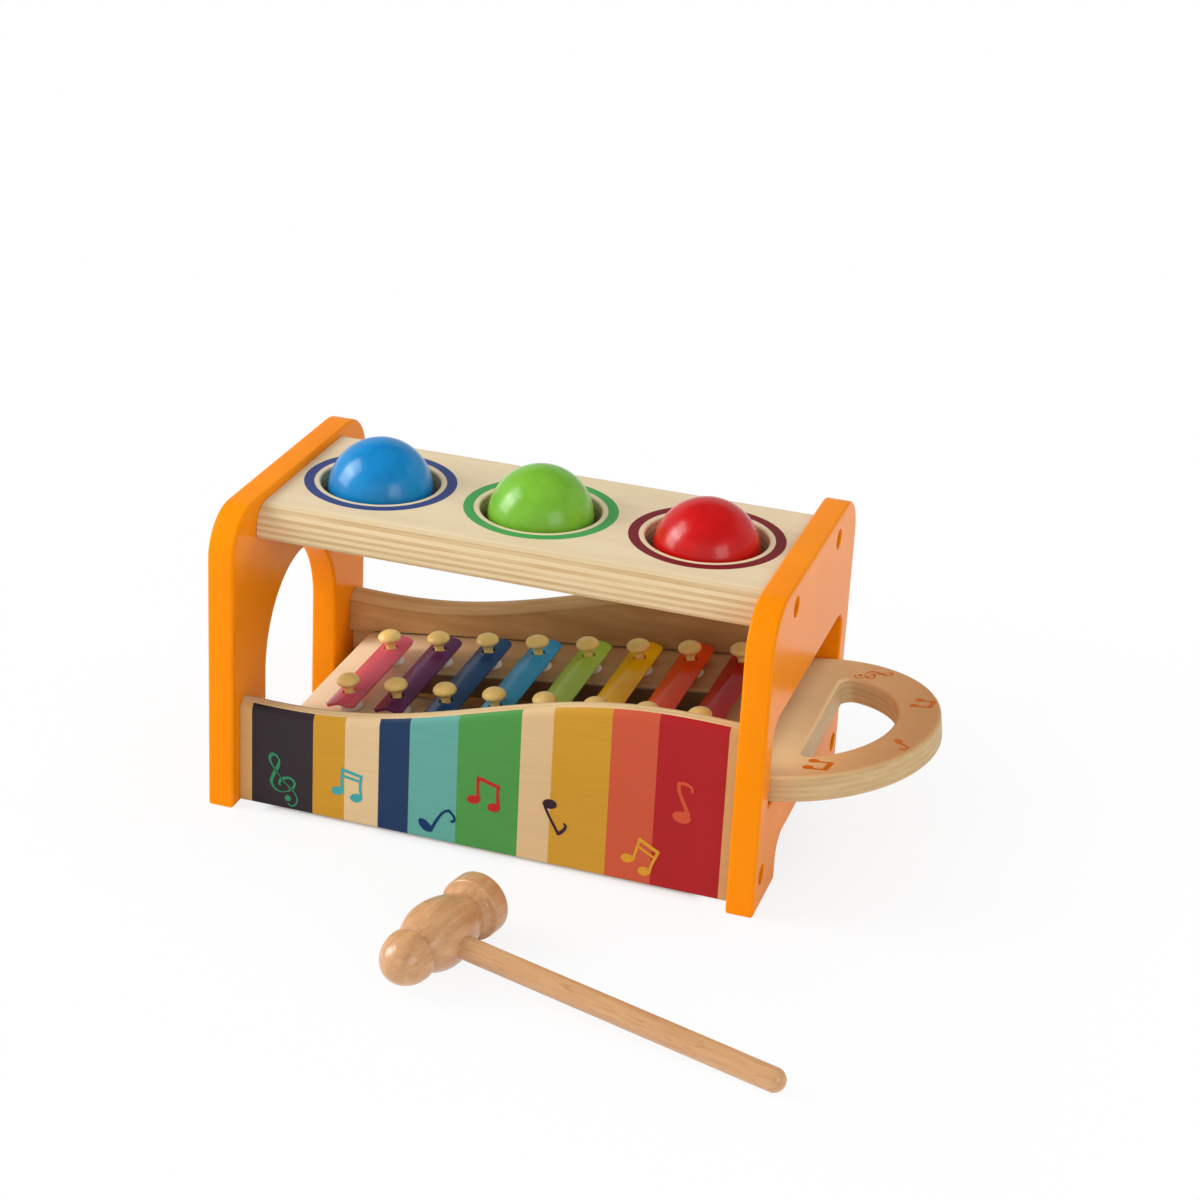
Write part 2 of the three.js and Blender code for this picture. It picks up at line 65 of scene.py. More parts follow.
# %% Axes
left_low, left_high = (np.array(corner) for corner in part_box("left_side_panel"))
right_low, right_high = (np.array(corner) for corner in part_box("right_side_panel"))
SHIFT = np.array([(left_low[0] + right_high[0]) / 2, (left_low[1] + left_high[1]) / 2, 0.0])
INNER = (right_low[0] - left_high[0]) * 1000 / 2
OUTER = (right_high[0] - left_low[0]) * 1000 / 2
SLOPE = math.radians(7.4)
TRAY_TOP, TRAY_THICK = 42.1, 11.5
BENCH = np.eye(4)
TRAY = np.array(Matrix.Translation((0, 0, TRAY_TOP)) @ Matrix.Rotation(-SLOPE, 4, "Y"))


def to_frame(points, place):
    """Points in millimetres, turned and moved by a 4 by 4 place, then shifted and scaled to metres."""
    return (points @ place[:3, :3].T + place[:3, 3]) / 1000 + SHIFT


def shifted(place, x, y, z):
    """A place moved along its own axes: the place times a plain move."""
    return place @ np.array(Matrix.Translation((x, y, z)))


def cad_middle(node):
    """The middle of a CAD node's box, in the bench's millimetres."""
    low, high = (np.array(corner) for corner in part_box(node))
    return ((low + high) / 2 - SHIFT) * 1000


def tray_top_at(x):
    """The height of the tray's top face: its middle height plus the way along times the slope."""
    return TRAY_TOP + x * math.tan(SLOPE)


print("half length inside and outside, mm:", round(INNER, 2), round(OUTER, 2))

# %% [markdown]
# ## A shell made of grids and flat fills
#
# Almost every wooden piece here is a profile carried round an outline, plus the flat faces
# between those outlines. Faces could be added one by one, but whole arrays are quicker and
# shorter. The shell collects grids of points, and fills a flat face with any number of holes.
# Doubled points on the seams are merged when the mesh is made.

# %% Shell
class Shell:
    def __init__(self):
        self.points = np.zeros((0, 3))
        self.faces = []
        self.paints = []

    def grid(self, points, wrap=False, paint=0):
        """Adds rows by columns of points, joined by quads; wrap closes each row on itself."""
        rows, columns = points.shape[:2]
        index = np.arange(rows * columns).reshape(rows, columns) + len(self.points)
        self.points = np.vstack([self.points, points.reshape(-1, 3)])
        ring = np.hstack([index, index[:, :1]]) if wrap else index
        quads = np.stack([ring[:-1, :-1], ring[:-1, 1:], ring[1:, 1:], ring[1:, :-1]], axis=-1)
        self.faces += quads.reshape(-1, 4).tolist()
        paints = np.broadcast_to(np.asarray(paint), quads.shape[:2])
        self.paints += paints.reshape(-1).tolist()
        return index

    def fill(self, *loops, axes=(0, 1)):
        """Fills the flat region inside the first loop of indices and outside the others."""
        order = np.concatenate(loops)
        flat = np.zeros((len(order), 3))
        flat[:, :2] = self.points[order][:, axes]
        ends = np.cumsum([len(loop) for loop in loops])[:-1]
        triangles = tessellate_polygon([part.tolist() for part in np.split(flat, ends)])
        self.faces += order[np.array(triangles)].tolist()
        self.paints += [0] * len(triangles)

    def face(self, *loops):
        """Adds each loop of indices as one face."""
        self.faces += [loop.tolist() for loop in loops]
        self.paints += [0] * len(loops)


WELD, SLIVER = 2e-6, 1e-7


def add_piece(name, shell, place, body, nodes, finishes, sharp=32, closed=True):
    """Makes the shell a mesh in the frame, merges its seams and lets it stand for CAD nodes."""
    mesh = bpy.data.meshes.new(name)
    mesh.from_pydata(to_frame(shell.points, place).tolist(), [], shell.faces)
    mesh.polygons.foreach_set("material_index", shell.paints)
    work = bmesh.new()
    work.from_mesh(mesh)
    bmesh.ops.remove_doubles(work, verts=work.verts, dist=WELD)
    bmesh.ops.dissolve_degenerate(work, edges=work.edges, dist=SLIVER)
    if closed:
        bmesh.ops.recalc_face_normals(work, faces=work.faces)
    work.to_mesh(mesh)
    work.free()
    mesh.shade_smooth()
    mesh.set_sharp_from_angle(angle=math.radians(sharp))
    piece = bpy.data.objects.new(name, mesh)
    bpy.context.scene.collection.objects.link(piece)
    for finish in finishes:
        mesh.materials.append(finish)
    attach(piece, body)
    if nodes:
        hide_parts(*nodes)
    return piece


print("shell ready")

# %% [markdown]
# ## Outlines and rounded plates
#
# The side panels and the tray are plates cut from a sheet and sanded round at their edges. A
# bevel modifier would do, but it struggles where arcs meet. Here the edge is a quarter round
# that follows the outline at its own inward normals, so it keeps one radius everywhere.

# %% Plates
def arc(x, y, radius, start, end, count=10, radius_y=None):
    """Points on an arc: centre plus radius times cosine and sine, from start to end in degrees."""
    angle = np.radians(np.linspace(start, end, count))
    return np.column_stack([x + radius * np.cos(angle), y + (radius_y or radius) * np.sin(angle)])


def outline(*parts):
    """Joins corner points and arcs into one closed loop, without doubled neighbours."""
    loop = np.vstack([np.atleast_2d(part) for part in parts])
    return loop[np.linalg.norm(loop - np.roll(loop, 1, axis=0), axis=1) > 1e-6]


def rounded_box(left, bottom, right, top, low, high=None):
    """A rectangle whose two lower corners have one radius and the two upper another."""
    high = low if high is None else high
    return outline(
        arc(right - low, bottom + low, low, -90, 0),
        arc(right - high, top - high, high, 0, 90),
        arc(left + high, top - high, high, 90, 180),
        arc(left + low, bottom + low, low, 180, 270),
    )


def inward(loop):
    """Each point's inward normal: both edges' left normals, summed and divided by 1 plus their dot."""
    ahead = np.roll(loop, -1, axis=0) - loop
    ahead /= np.linalg.norm(ahead, axis=1, keepdims=True)
    after = np.column_stack([-ahead[:, 1], ahead[:, 0]])
    before = np.roll(after, 1, axis=0)
    return (before + after) / (1 + np.sum(before * after, axis=1))[:, None]


def quarter_round(radius, steps=7):
    """Inset and height from a flat face down to a wall, along a quarter circle."""
    angle = np.radians(np.linspace(0, 90, steps))
    return np.column_stack([radius * (1 - np.sin(angle)), radius * (1 - np.cos(angle))])


def carried(loop, profile):
    """A profile of inset and height carried round a loop: loop plus inset times normal, and height."""
    flat = loop[None] + profile[:, None, :1] * inward(loop)[None]
    height = np.broadcast_to(profile[:, None, 1:], flat.shape[:2] + (1,))
    return np.concatenate([flat, height], axis=-1)


FLAT, PIT_EASE = 0.4, 0.4


def rounded_plate(loops, thickness, radius, pits=(), pit_depth=0.0):
    """A plate between loops: the outer one anticlockwise, holes clockwise, blind pits in its top."""
    shell = Shell()
    low = np.vstack([[radius + FLAT, 0], quarter_round(radius)])
    high = low[::-1] * [1, -1] + [0, thickness]
    rings = [shell.grid(carried(loop, np.vstack([low, high])), wrap=True) for loop in loops]
    shell.fill(*[ring[0] for ring in rings])
    rim = np.vstack([[PIT_EASE + FLAT, 0], quarter_round(PIT_EASE), [0, pit_depth]])
    rim = rim * [1, -1] + [0, thickness]
    holes = [shell.grid(carried(pit, rim), wrap=True) for pit in pits]
    shell.fill(*[ring[-1] for ring in rings], *[hole[0] for hole in holes])
    for hole in holes:
        shell.fill(hole[-1])
    return shell


print("a quarter round of 2 mm:", quarter_round(2.0, 3).round(2).tolist())

# %% [markdown]
# ## Building a finish from nodes
#
# Every finish reads Object coordinates, so its grain stays with the piece and runs on over its
# edges, where an unwrapped picture would show seams. These helpers add a node, link or set its
# inputs, and give bench or tray millimetres to the pattern.

# %% Node helpers
WHITE = (1, 1, 1, 1)


def paint(red, green, blue):
    """An sRGB colour from 0 to 255 as the linear colour that shaders use."""
    value = np.array([red, green, blue]) / 255
    linear = np.where(value <= 0.04045, value / 12.92, ((value + 0.055) / 1.055) ** 2.4)
    return (*linear.tolist(), 1.0)


def add_node(tree, kind, inputs, **settings):
    """Adds a shader node, then links sockets and sets values on its inputs."""
    made = tree.nodes.new("ShaderNode" + kind)
    for key, value in settings.items():
        setattr(made, key, value)
    for key, value in inputs.items():
        if isinstance(value, bpy.types.NodeSocket):
            tree.links.new(value, made.inputs[key])
        else:
            made.inputs[key].default_value = value
    return made


def calc(tree, operation, *values):
    """One step of sums on sockets and numbers."""
    return add_node(tree, "Math", dict(enumerate(values)), operation=operation).outputs[0]


def blend(tree, factor, first, second, mode="MIX"):
    """The first colour towards the second, or towards their product, by a factor."""
    inputs = {0: factor, 6: first, 7: second}
    return add_node(tree, "Mix", inputs, data_type="RGBA", blend_type=mode).outputs[2]


def split(tree, vector):
    """A vector's X, Y and Z as sockets."""
    return add_node(tree, "SeparateXYZ", {"Vector": vector}).outputs


def smooth_step(tree, value, start, end, height):
    """A smooth rise from zero to a height, between two values."""
    inputs = {"Value": value, "From Min": start, "From Max": end, "To Max": height}
    return add_node(tree, "MapRange", inputs, interpolation_type="SMOOTHSTEP").outputs["Result"]


def ramp(tree, value, stops, interpolation="LINEAR"):
    """A colour ramp from a list of position and colour."""
    made = add_node(tree, "ValToRGB", {"Fac": value})
    band = made.color_ramp
    band.interpolation = interpolation
    while len(band.elements) < len(stops):
        band.elements.new(1.0)
    for element, (position, colour) in zip(band.elements, stops):
        element.position = position
        element.color = colour
    return made.outputs["Color"]


def new_finish(name, roughness, shine, metallic=0.0):
    """A principled material whose plain numbers sit on the shader's own sockets."""
    material = bpy.data.materials.new(name)
    material.use_nodes = True
    shader = material.node_tree.nodes["Principled BSDF"]
    shader.inputs["Roughness"].default_value = roughness
    shader.inputs["Metallic"].default_value = metallic
    shader.inputs["Specular IOR Level"].default_value = shine
    return material, material.node_tree, shader


def set_colour(tree, shader, colour):
    """Links a colour to the shader."""
    tree.links.new(colour, shader.inputs["Base Color"])


def millimetres(tree, place=BENCH):
    """Object coordinates as millimetres along a place's own axes, by its inverse turn and shift."""
    back = np.linalg.inv(place)
    move = back[:3, 3] - back[:3, :3] @ (SHIFT * 1000)
    turn = Matrix(back[:3, :3].tolist()).to_euler()
    inputs = {
        "Vector": add_node(tree, "TexCoord", {}).outputs["Object"],
        "Location": move.tolist(),
        "Rotation": turn,
        "Scale": (1000, 1000, 1000),
    }
    return add_node(tree, "Mapping", inputs).outputs["Vector"]


def streaks(tree, vector, stretch, detail=5.0, roughness=0.6):
    """Noise squeezed along each axis by a stretch, which draws it out into grain."""
    squeezed = add_node(tree, "Mapping", {"Vector": vector, "Scale": stretch}).outputs["Vector"]
    inputs = {"Vector": squeezed, "Scale": 1.0, "Detail": detail, "Roughness": roughness}
    return add_node(tree, "TexNoise", inputs).outputs["Fac"]


def ridges(tree, shader, height, distance):
    """A bump of the given depth in metres on the shader's normal."""
    bump = add_node(tree, "Bump", {"Height": height, "Strength": 0.5, "Distance": distance})
    tree.links.new(bump.outputs["Normal"], shader.inputs["Normal"])


print("node helpers ready")

# %% [markdown]
# ## Orange paint on the side panels
#
# The panels are sprayed with a warm orange paint over layered board. A single colour would look
# like plastic, so a broad noise shifts the tone a little, a fine one gives the sprayed surface
# its slight unevenness, and the board's seams show faintly through the paint on the cut edges.

# %% Orange paint
LAYER, SEAM = 1.9, (0.97, 0.93, 0.9, 1)


def gloss_paint(name, colour, shade, roughness, ripple, shine, layers=False):
    """Paint between two near tones by broad noise, with a fine ripple, over a board's layers or not."""
    material, tree, shader = new_finish(name, roughness, shine)
    spot = millimetres(tree)
    broad = streaks(tree, spot, (0.02, 0.02, 0.02), 3.0)
    fine = streaks(tree, spot, (0.35, 0.35, 0.35), 2.0)
    tone = ramp(tree, broad, [(0.3, shade), (0.7, colour)])
    if layers:
        along = calc(tree, "ABSOLUTE", split(tree, spot)["X"])
        depth = calc(tree, "DIVIDE", calc(tree, "SUBTRACT", along, INNER), LAYER)
        line = ramp(tree, calc(tree, "FRACT", depth), [(0.5, WHITE), (0.7, SEAM), (0.9, WHITE)])
        tone = blend(tree, broad, tone, line, "MULTIPLY")
    set_colour(tree, shader, tone)
    ridges(tree, shader, fine, ripple)
    return material


orange = gloss_paint(
    "orange_gloss", paint(252, 146, 8), paint(247, 138, 5),
    roughness=0.26, ripple=0.00008, shine=0.06, layers=True,
)
print("made", orange.name)

# %% [markdown]
# ## Side panels
#
# Two boards carry everything. The left one has an arch down to the floor, the right one a slot
# for the tray and a recess between its feet. Both have four screws sunk in pits. A boolean could
# cut these openings, but drawn as outlines of their own they get the same rounded edge as the
# rest. Each outline is drawn in depth and height and made a plate along the bench.

# %% Side panels
PANEL_HALF, PANEL_HEIGHT, PANEL_CORNER, PANEL_EDGE = 71.0, 132.5, 20.0, 1.3
ARCH_HALF, ARCH_STRAIGHT, ARCH_RISE = 37.5, 50.0, 41.0
RECESS_HALF, RECESS_HEIGHT, RECESS_CORNER = 37.25, 18.0, 8.0
SLOT_HALF, SLOT_BELOW, SLOT_HEADROOM = 59.0, 1.0, 6.8
SLOT_EASE, SLOT_CORNER = 1.0, 8.0
PEG_TOP = 15.63
PIT_RADIUS, PIT_DEPTH = 4.3, 4.2
BOARD_SCREW, WALL_SCREW = (36.5, 122.3), (61.45, 15.0)
SCREWS = {
    f"{row}_{end}": (side * y, z)
    for row, (y, z) in (("board", BOARD_SCREW), ("wall", WALL_SCREW))
    for end, side in (("front", -1), ("back", 1))
}


def panel_outline(foot_gap):
    """The panel's feet, sides and rounded shoulders, with its foot gap drawn between the feet."""
    inset, shoulder = PANEL_HALF - PANEL_CORNER, PANEL_HEIGHT - PANEL_CORNER
    return outline(
        (-PANEL_HALF, 0), foot_gap, (PANEL_HALF, 0),
        arc(inset, shoulder, PANEL_CORNER, 0, 90, 14),
        arc(-inset, shoulder, PANEL_CORNER, 90, 180, 14),
    )


archway = np.vstack([
    (-ARCH_HALF, 0), arc(0, ARCH_STRAIGHT, ARCH_HALF, 180, 0, 48, ARCH_RISE), (ARCH_HALF, 0),
])
bend_y, bend_z = RECESS_HALF - RECESS_CORNER, RECESS_HEIGHT - RECESS_CORNER
recess = np.vstack([
    (-RECESS_HALF, 0), arc(-bend_y, bend_z, RECESS_CORNER, 180, 90),
    arc(bend_y, bend_z, RECESS_CORNER, 90, 0), (RECESS_HALF, 0),
])
rise = 1 / math.cos(SLOPE)
slot_low = tray_top_at(INNER) - TRAY_THICK * rise - SLOT_BELOW
slot_high = tray_top_at(OUTER) + PEG_TOP * rise + SLOT_HEADROOM
slot = rounded_box(-SLOT_HALF, slot_low, SLOT_HALF, slot_high, SLOT_EASE, SLOT_CORNER)[::-1]
pits = [arc(y, z, PIT_RADIUS, 360, 0, 33)[:-1] for y, z in SCREWS.values()]

right_place = np.array([[0, 0, 1, INNER], [1, 0, 0, 0], [0, 1, 0, 0], [0, 0, 0, 1]])
left_place = np.diag([-1.0, 1, 1, 1]) @ right_place
PANEL_PLACES = {"right": right_place, "left": left_place}
panel_loops = {"right": [panel_outline(recess), slot], "left": [panel_outline(archway)]}
for side, place in PANEL_PLACES.items():
    plate = rounded_plate(panel_loops[side], OUTER - INNER, PANEL_EDGE, pits, PIT_DEPTH)
    node = f"{side}_side_panel"
    add_piece(f"{side}_panel_painted", plate, place, "bench", [node], [orange])
    print("made", node, len(plate.faces), "faces")

# %% [markdown]
# ## Screws
#
# A screw's sunk head shows at the bottom of each pit. It is a profile turned about its axis: a
# function of the angle and of the way along the profile. The cross for the driver is pressed in
# by lowering the points inside two crossed bars, which is quicker than a boolean cut and leaves
# sloping walls, as a punch does. The finish darkens the same cross: painted shade in the recess.

# %% Screws
SHANK, SHANK_TIP, TIP_AT, TAPER_AT = 2.0, 1.0, -20.0, -16.0
HEAD, HEAD_UNDER, HEAD_MIDDLE, HEAD_RISE = 4.0, 7.7, 7.5, 2.4
BAR_HALF, BAR_LONG, BAR_SLOPE, END_SLOPE, BAR_DEPTH = 0.7, 2.5, 0.3, 0.5, 1.3
SHADE_CROSS_HALF, SHADE_CROSS_LONG = 0.55, 2.3


def turned(profile, steps):
    """A surface of revolution: radius times cosine and sine of the turn, and the profile's height."""
    profile = np.asarray(profile, dtype=float)
    turn = np.linspace(0, 2 * np.pi, steps, endpoint=False)
    radius = profile[:, :1]
    height = np.broadcast_to(profile[:, 1:], (len(profile), steps))
    return np.stack([radius * np.cos(turn), radius * np.sin(turn), height], axis=-1)


def turned_shell(profile, steps):
    """A turned surface as a shell, closed round its axis."""
    shell = Shell()
    shell.grid(turned(profile, steps), wrap=True)
    return shell


def screw_shell():
    """A turned screw whose head is lowered where two bars, with sloping sides, cross at its middle."""
    head = arc(0, HEAD_MIDDLE, HEAD, 0, 90, 40, HEAD_RISE)
    points = turned(np.vstack([
        [0, TIP_AT], [SHANK_TIP, TIP_AT], [SHANK, TAPER_AT], [SHANK, HEAD_UNDER], [HEAD, HEAD_UNDER],
        head[:-1], [0, HEAD_MIDDLE + HEAD_RISE],
    ]), 96)
    off = np.abs(points[..., :2])
    bar = np.clip((BAR_HALF - off.min(axis=-1)) / BAR_SLOPE, 0, 1)
    short = np.clip((BAR_LONG - off.max(axis=-1)) / END_SLOPE, 0, 1)
    on_crown = points[..., 2] > HEAD_MIDDLE + 1
    points[..., 2] -= BAR_DEPTH * bar * short * on_crown
    shell = Shell()
    shell.grid(points, wrap=True)
    return shell


def screw_finish():
    """Satin brass-coloured metal, with painted shade in a cross at the middle of each head."""
    material, tree, shader = new_finish("screw_brass", 0.32, 0.5, 1.0)
    spot = split(tree, millimetres(tree))
    upper = calc(tree, "GREATER_THAN", spot["Z"], PANEL_HEIGHT / 2)
    offs = []
    for value, low, high in zip((calc(tree, "ABSOLUTE", spot["Y"]), spot["Z"]), WALL_SCREW, BOARD_SCREW):
        middle = calc(tree, "MULTIPLY_ADD", upper, high - low, low)
        offs.append(calc(tree, "ABSOLUTE", calc(tree, "SUBTRACT", value, middle)))
    # Painted shade: the cross in the middle of each head is darkened, as shade falls in its recess.
    bar = calc(tree, "LESS_THAN", calc(tree, "MINIMUM", *offs), SHADE_CROSS_HALF)
    short = calc(tree, "LESS_THAN", calc(tree, "MAXIMUM", *offs), SHADE_CROSS_LONG)
    cross = calc(tree, "MULTIPLY", bar, short)
    set_colour(tree, shader, blend(tree, cross, paint(196, 148, 74), paint(60, 40, 20)))
    return material


brass = screw_finish()
for side, panel_place in PANEL_PLACES.items():
    for spot_name, (y, z) in SCREWS.items():
        node = f"screw_{side}_{spot_name}"
        place = shifted(panel_place, y, z, 0)
        add_piece(f"{node}_turned", screw_shell(), place, "bench", [node], [brass])
print("made", len(PANEL_PLACES) * len(SCREWS), "screws")

# %% [markdown]
# ## Birch plywood
#
# The board and tray are birch ply. Its face is pale with long soft grain, and wherever an edge
# is cut or rounded, the layers show as bands. Painted edge strips would have to be fitted to each
# curve, so the colour follows the depth below the top face instead: a flat face lies in one
# layer, and a rounded edge crosses several by itself.

# %% Plywood
FACE_SKIN, FIRST_LAYER = 0.25, 0.4
SOFT_GRAIN = (0.92, 0.89, 0.85, 1)


def plywood(name, top, layer, place, shine=0.12, grain=SOFT_GRAIN, *, face, pale, core, glue):
    """Bands by depth below the top face, in pairs of a pale and a darker layer, under drawn-out grain."""
    material, tree, shader = new_finish(name, 0.45, shine)
    spot = millimetres(tree, place)
    height = split(tree, spot)["Z"]
    depth = calc(tree, "SUBTRACT", top + FIRST_LAYER, height)
    pair = calc(tree, "FRACT", calc(tree, "DIVIDE", depth, 2 * layer))
    long_grain = streaks(tree, spot, (0.012, 0.12, 0.3), 6.0)
    fine_grain = streaks(tree, spot, (0.05, 1.6, 1.6), 3.0)
    patches = streaks(tree, spot, (0.02, 0.1, 0.6), 3.0)
    bands = ramp(tree, pair, [(0, pale), (0.52, pale), (0.57, glue), (0.63, core), (0.93, core), (1, glue)])
    worn = ramp(tree, patches, [(0.4, (0, 0, 0, 1)), (0.7, (0.7, 0.7, 0.7, 1))])
    bands = blend(tree, worn, bands, pale)
    bands = blend(tree, calc(tree, "GREATER_THAN", height, top - FACE_SKIN), bands, face)
    tone = ramp(tree, long_grain, [(0.28, grain), (0.62, WHITE)])
    colour = blend(tree, 0.8, bands, tone, "MULTIPLY")
    fleck = ramp(tree, fine_grain, [(0.25, (0.86, 0.81, 0.74, 1)), (0.45, WHITE)])
    colour = blend(tree, 0.5, colour, fleck, "MULTIPLY")
    set_colour(tree, shader, colour)
    ridges(tree, shader, fine_grain, 0.00008)
    return material, tree, shader, spot, colour


def tones(*colours):
    """Names a plywood's four colours: its face, its pale and darker layers, and the glue between."""
    return dict(zip(("face", "pale", "core", "glue"), (paint(*colour) for colour in colours)))


BIRCH = tones((232, 212, 176), (224, 201, 160), (204, 173, 127), (188, 153, 109))
TRAY_WOOD = tones((219, 177, 127), (214, 184, 139), (207, 175, 129), (201, 168, 122))
print("plywood ready, its tones:", ", ".join(BIRCH))

# %% [markdown]
# ## The top board and its printed rings
#
# The board's long edges are rounded to a big radius, and each ball hole has a printed ring
# round it. Rings of their own mesh would stand proud, and print doesn't, so they are part of the
# finish: the distance from each hole's middle picks the ink.

# %% Board finish
BOARD_TOP, BOARD_LOW, BOARD_HALF = 129.3, 115.3, 48.25
BOARD_LAYER = 1.4
BALL_X = {"blue": -72.0, "green": 0.0, "red": 72.0}
RING_INK = {"blue": paint(58, 74, 128), "green": paint(72, 160, 84), "red": paint(122, 30, 36)}
RING_MIDDLE, RING_HALF, INK_SKIN = 30.3, 2.2, 0.3


def board_finish():
    """Plywood with a ring of ink where the distance from a hole is between the ring's two radii."""
    material, tree, shader, spot, colour = plywood("birch_board", BOARD_TOP, BOARD_LAYER, BENCH, **BIRCH)
    x, y, z = split(tree, spot)
    on_top = calc(tree, "GREATER_THAN", z, BOARD_TOP - INK_SKIN)
    for name, hole_x in BALL_X.items():
        along = calc(tree, "SUBTRACT", x, hole_x)
        squares = calc(tree, "MULTIPLY_ADD", along, along, calc(tree, "POWER", y, 2.0))
        past_middle = calc(tree, "SUBTRACT", calc(tree, "SQRT", squares), RING_MIDDLE)
        inked = calc(tree, "LESS_THAN", calc(tree, "ABSOLUTE", past_middle), RING_HALF)
        colour = blend(tree, calc(tree, "MULTIPLY", inked, on_top), colour, RING_INK[name])
    set_colour(tree, shader, colour)
    return material


birch_board = board_finish()
print("made", birch_board.name)

# %% [markdown]
# The board itself is a rounded section run along the bench. Its top is one flat face with three
# round holes, whose rims are eased. Below is a shallow pocket for the rubber sheet. A block with
# holes cut out would need its edges bevelled afterwards, while strips, hole walls and fills have
# their rounds from the start.

# %% Board
BOARD_ROUND, BOARD_EASE, FLAT_STRIP, GLUE_GAP = 9.0, 1.5, 0.5, 0.2
HOLE, HOLE_EASE, HOLE_FLAT = 25.5, 0.9, 1.2
POCKET_DEPTH, POCKET_MARGIN, POCKET_CORNER = 3.0, 7.3, 1.0


def board_shell():
    """Edge strips along X, hole walls as circles carried down, and flat fills between them."""
    shell = Shell()
    end = INNER - GLUE_GAP
    edge = np.vstack([
        arc(BOARD_ROUND - BOARD_HALF, BOARD_TOP - BOARD_ROUND, BOARD_ROUND, 90, 180, 20),
        arc(BOARD_EASE - BOARD_HALF, BOARD_LOW + BOARD_EASE, BOARD_EASE, 180, 270, 6),
    ])
    edge = np.vstack([[edge[0, 0] + FLAT_STRIP, BOARD_TOP], edge, [edge[-1, 0] + FLAT_STRIP, BOARD_LOW]])
    strips = []
    for side in (1, -1):
        strip = np.empty((2, len(edge), 3))
        strip[..., 0] = np.array([[-end], [end]])
        strip[..., 1:] = edge * [side, 1]
        strips.append(shell.grid(strip))
    front, back = strips
    eased = quarter_round(HOLE_EASE) * [1, -1] + [HOLE, BOARD_TOP]
    rim = np.vstack([[HOLE + HOLE_FLAT, BOARD_TOP], eased, [HOLE, BOARD_LOW + POCKET_DEPTH]])
    holes = [shell.grid(turned(rim, 72) + [x, 0, 0], wrap=True) for x in BALL_X.values()]
    top = np.array([front[0, 0], front[1, 0], back[1, 0], back[0, 0]])
    shell.fill(top, *[hole[0] for hole in holes])
    half = HOLE + POCKET_MARGIN
    pocket = rounded_box(BALL_X["blue"] - half, -half, BALL_X["red"] + half, half, POCKET_CORNER)
    walls = shell.grid(carried(pocket, np.array([[0, BOARD_LOW], [0, BOARD_LOW + POCKET_DEPTH]])), wrap=True)
    low = np.array([front[0, -1], front[1, -1], back[1, -1], back[0, -1]])
    shell.fill(low, walls[0])
    shell.fill(walls[1], *[hole[-1] for hole in holes])
    for station in (0, 1):
        shell.fill(np.concatenate([front[station], back[station][::-1]]), axes=(1, 2))
    return shell


board = board_shell()
add_piece("top_board_rounded", board, BENCH, "bench", ["top_board"], [birch_board])
print("made the board,", len(board.faces), "faces")

# %% [markdown]
# ## Balls
#
# Three lacquered wooden balls. Blender's own sphere would do, but a half circle turned about the
# upright axis is the same function that makes pegs and screws. The paint carries a faint trace of
# the turned wood below it, so the highlights aren't perfectly round.

# %% Balls
BALL_RADIUS = 22.33
BALL_PAINT = {
    "blue": (paint(10, 136, 202), paint(4, 124, 190)),
    "green": (paint(124, 188, 54), paint(114, 178, 44)),
    "red": (paint(206, 12, 13), paint(194, 7, 10)),
}


def ball_lacquer(name, colour, shade):
    """Lacquer between two tones, by the upright grain of the turned wood below it."""
    material, tree, shader = new_finish(name, 0.22, 0.45)
    spot = millimetres(tree)
    grain = streaks(tree, spot, (0.12, 0.12, 0.05), 3.0)
    fine = streaks(tree, spot, (0.3, 0.3, 0.12), 2.0)
    set_colour(tree, shader, ramp(tree, grain, [(0.34, shade), (0.62, colour)]))
    ridges(tree, shader, fine, 0.00015)
    return material


meridian = arc(0, 0, BALL_RADIUS, -90, 90, 49)
for colour_name in BALL_X:
    node = f"ball_{colour_name}"
    middle = cad_middle(node)
    ball, place = turned_shell(meridian, 96), shifted(BENCH, *middle)
    lacquer = ball_lacquer(f"{node}_lacquer", *BALL_PAINT[colour_name])
    add_piece(f"{node}_lacquered", ball, place, node, [node], [lacquer], sharp=60)
    print("made", node, "at", middle.round(1).tolist())

# %% [markdown]
# ## Front and back panels
#
# Each panel's top edge climbs with the tray in a long wave. A section with two rounded shoulders
# and the tray's groove is carried along the bench, and its top follows the wave: one grid, where
# a cut plate would need its rounds and its groove worked in later. Faces of the groove take a
# dark finish, a painted shade, where the tray runs, and the front's printed face one of its own,
# half way up its rounded shoulder.

# %% Wave panels
WALL_OUT, WALL_THICK, GROOVE = 64.5, 10.0, 3.9
OUTER_ROUND, INNER_ROUND, ROUND_POINTS = 4.0, 5.5, 9
FLOOR_GAP, FOOT_EASE = 1.0, 0.8
GROOVE_BELOW, GROOVE_ABOVE, GROOVE_SHADE_FROM = 0.3, 0.9, 12.0
WAVE_BASE, WAVE_HEIGHT, WAVE_LENGTH, WAVE_START = 21.7, 6.4, 231.0, 2.2


def wave(x):
    """The tray's height, a constant, and a sine of one wave along the bench."""
    return tray_top_at(x) + WAVE_BASE + WAVE_HEIGHT * np.sin(2 * np.pi * (x + WAVE_START) / WAVE_LENGTH)


